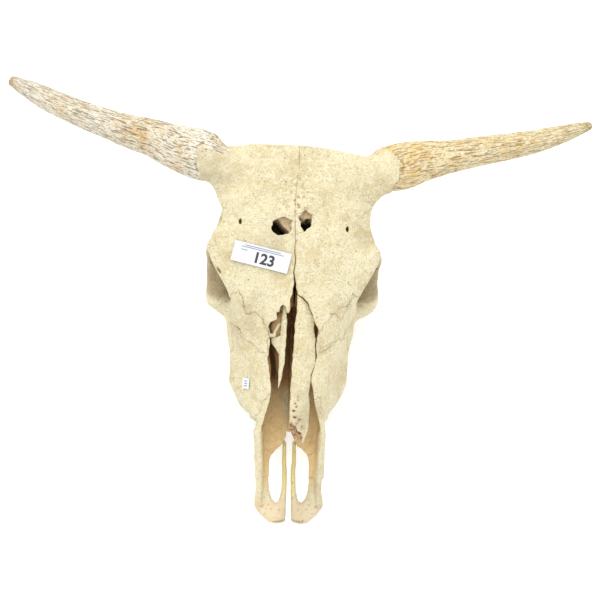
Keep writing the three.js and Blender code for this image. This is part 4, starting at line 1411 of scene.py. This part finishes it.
PAPER = paper_finish("label_paper", seen(246, 248, 252))
INK = paper_finish("label_ink", seen(30, 31, 36))
RULE = paper_finish("label_rule", seen(128, 140, 168))
PAPER_THICKNESS = 0.6
LABELS = {
    "lot_label": {"centre": LOT_LABEL_CENTRE, "turned": -13, "tipped": -4, "bend": 0.5},
    "price_label": {"centre": (-57.2, 167, -43), "turned": -2, "tipped": -50, "bend": 0.2},
}
BEND_OVER = (35, 12)  # half the length and half the width that a label's bend is given for


def label_place(points, centre, turned, tipped, bend):
    """Bends flat points down along the label and up across it, tips and turns them, and moves
    them to the label's centre."""
    x, y, z = points.T
    z = z - bend * (x / BEND_OVER[0]) ** 2 + 0.25 * bend * (y / BEND_OVER[1]) ** 2
    x, z = spin(x, z, tipped)
    x, y = spin(x, y, -turned)
    return np.stack([x, y, z], axis=1) + centre


def sheet(width, height, thickness, columns, rows, base=0.0, centre=(0, 0)):
    """A thin box as one grid of points on top, one below, and a wall around them."""
    across = np.linspace(-width / 2, width / 2, columns)
    x, y = np.meshgrid(across, np.linspace(-height / 2, height / 2, rows))
    flat = np.stack([x.ravel(), y.ravel()], axis=1) + centre
    count = len(flat)
    levels = (np.full(count, base + thickness), np.full(count, base))
    points = np.concatenate([np.column_stack([flat, level]) for level in levels])
    i = np.arange(rows - 1)[:, None] * columns + np.arange(columns - 1)[None, :]
    top = np.stack([i, i + 1, i + columns + 1, i + columns], axis=2).reshape(-1, 4)
    rim = np.concatenate([
        np.arange(columns - 1), columns * np.arange(1, rows) - 1,
        columns * rows - 1 - np.arange(columns - 1), columns * np.arange(rows - 1, 0, -1),
    ])
    ahead = np.roll(rim, -1)
    wall = np.stack([rim, rim + count, ahead + count, ahead], axis=1)
    return points, np.concatenate([top, top[:, ::-1] + count, wall])


def printed(text, size, x, y, base):
    """A number as a thin solid of ink, its middle at x and y."""
    curve = bpy.data.curves.new(text, "FONT")
    curve.body, curve.size, curve.offset = text, size, size * 0.03
    curve.extrude = 0.05
    curve.align_x, curve.align_y = "CENTER", "CENTER"
    holder = in_scene(text, curve)
    graph = bpy.context.evaluated_depsgraph_get()
    mesh = bpy.data.meshes.new_from_object(holder.evaluated_get(graph))
    bpy.data.objects.remove(holder)
    bpy.data.curves.remove(curve)
    points = np.array([v.co for v in mesh.vertices]) + (x, y, base)
    faces = [list(p.vertices) for p in mesh.polygons]
    bpy.data.meshes.remove(mesh)
    return points, faces


def on_label(node, ending, material, shape):
    points, faces = shape
    made = piece(f"{node}_{ending}", label_place(points, **LABELS[node]), faces, "paper", [node], material)
    made.data.polygons.foreach_set("use_smooth", np.zeros(len(made.data.polygons), bool))


on_label("lot_label", "paper", PAPER, sheet(70.5, 24.6, PAPER_THICKNESS, 57, 21))
on_label("lot_label", "number", INK, printed("123", 18, 4, -3, PAPER_THICKNESS + 0.1))
for n, (x, y, width) in enumerate([(0, 9.6, 44), (0, 7.4, 52), (-22, 3.6, 8)]):
    rule = sheet(width, 0.8, 0.1, 41, 2, base=PAPER_THICKNESS + 0.12, centre=(x, y))
    on_label("lot_label", f"rule_{n + 1}", RULE, rule)
on_label("price_label", "paper", PAPER, sheet(12.4, 13.4, 0.5, 7, 9))
for n in range(3):
    mark = sheet(5.2, 1.1, 0.08, 3, 2, base=0.56, centre=(0, 3 - 3 * n))
    on_label("price_label", f"mark_{n + 1}", RULE, mark)


# ---------------------------------------------------------------- studio
# A pale floor and soft light from above, with the camera looking down on the brow.
CAMERA_AIM = np.array([6.1, 273.0, 0.0])
CAMERA_DISTANCE = 1400.0
CAMERA_SWING, CAMERA_ROLL = -3.0, 1.3  # in degrees
PIXEL = 1.22  # width of a pixel at the aim, in millimetres
FRAME_PIXELS = 600
SENSOR = 36
FLOOR_HALF = 4.0  # in metres


def studio():
    mesh = bpy.data.meshes.new("floor")
    corners = [(FLOOR_HALF * x, FLOOR_HALF * y, 0) for x, y in ((-1, -1), (1, -1), (1, 1), (-1, 1))]
    mesh.from_pydata(corners, [], [(0, 1, 2, 3)])
    f = Finish("floor")
    f.set(Base_Color=(0.92, 0.92, 0.92, 1), Roughness=0.9, Emission_Color=(1, 1, 1, 1),
          Emission_Strength=0.15)
    mesh.materials.append(f.material)
    in_scene("floor", mesh)
    world = bpy.data.worlds.new("studio")
    world.use_nodes = True
    sky = world.node_tree.nodes["Background"].inputs
    sky["Color"].default_value = (1, 1, 1, 1)
    sky["Strength"].default_value = 1.3
    bpy.context.scene.world = world
    lamp = bpy.data.lights.new("softbox", "AREA")
    lamp.size, lamp.energy = 2.0, 30
    light = in_scene("softbox", lamp)
    light.location = (-0.4, 1.2, 2.2)
    light.rotation_euler = (math.radians(-28), math.radians(-10), 0)


def camera():
    x, y, z = np.eye(3)
    right, back = spin(x, z, -CAMERA_SWING)
    right, up = spin(right, y, CAMERA_ROLL)
    matrix = np.eye(4)
    matrix[:3, :3] = turn @ np.stack([right, up, back], axis=1)
    matrix[:3, 3] = at_rest(CAMERA_AIM + back * CAMERA_DISTANCE)
    data = bpy.data.cameras.new("camera")
    data.sensor_width = SENSOR
    data.lens = SENSOR * CAMERA_DISTANCE / (PIXEL * FRAME_PIXELS)
    made = in_scene("camera", data)
    made.matrix_world = matrix.T.tolist()
    bpy.context.scene.camera = made


studio()
camera()
bpy.context.scene.view_settings.view_transform = "Standard"
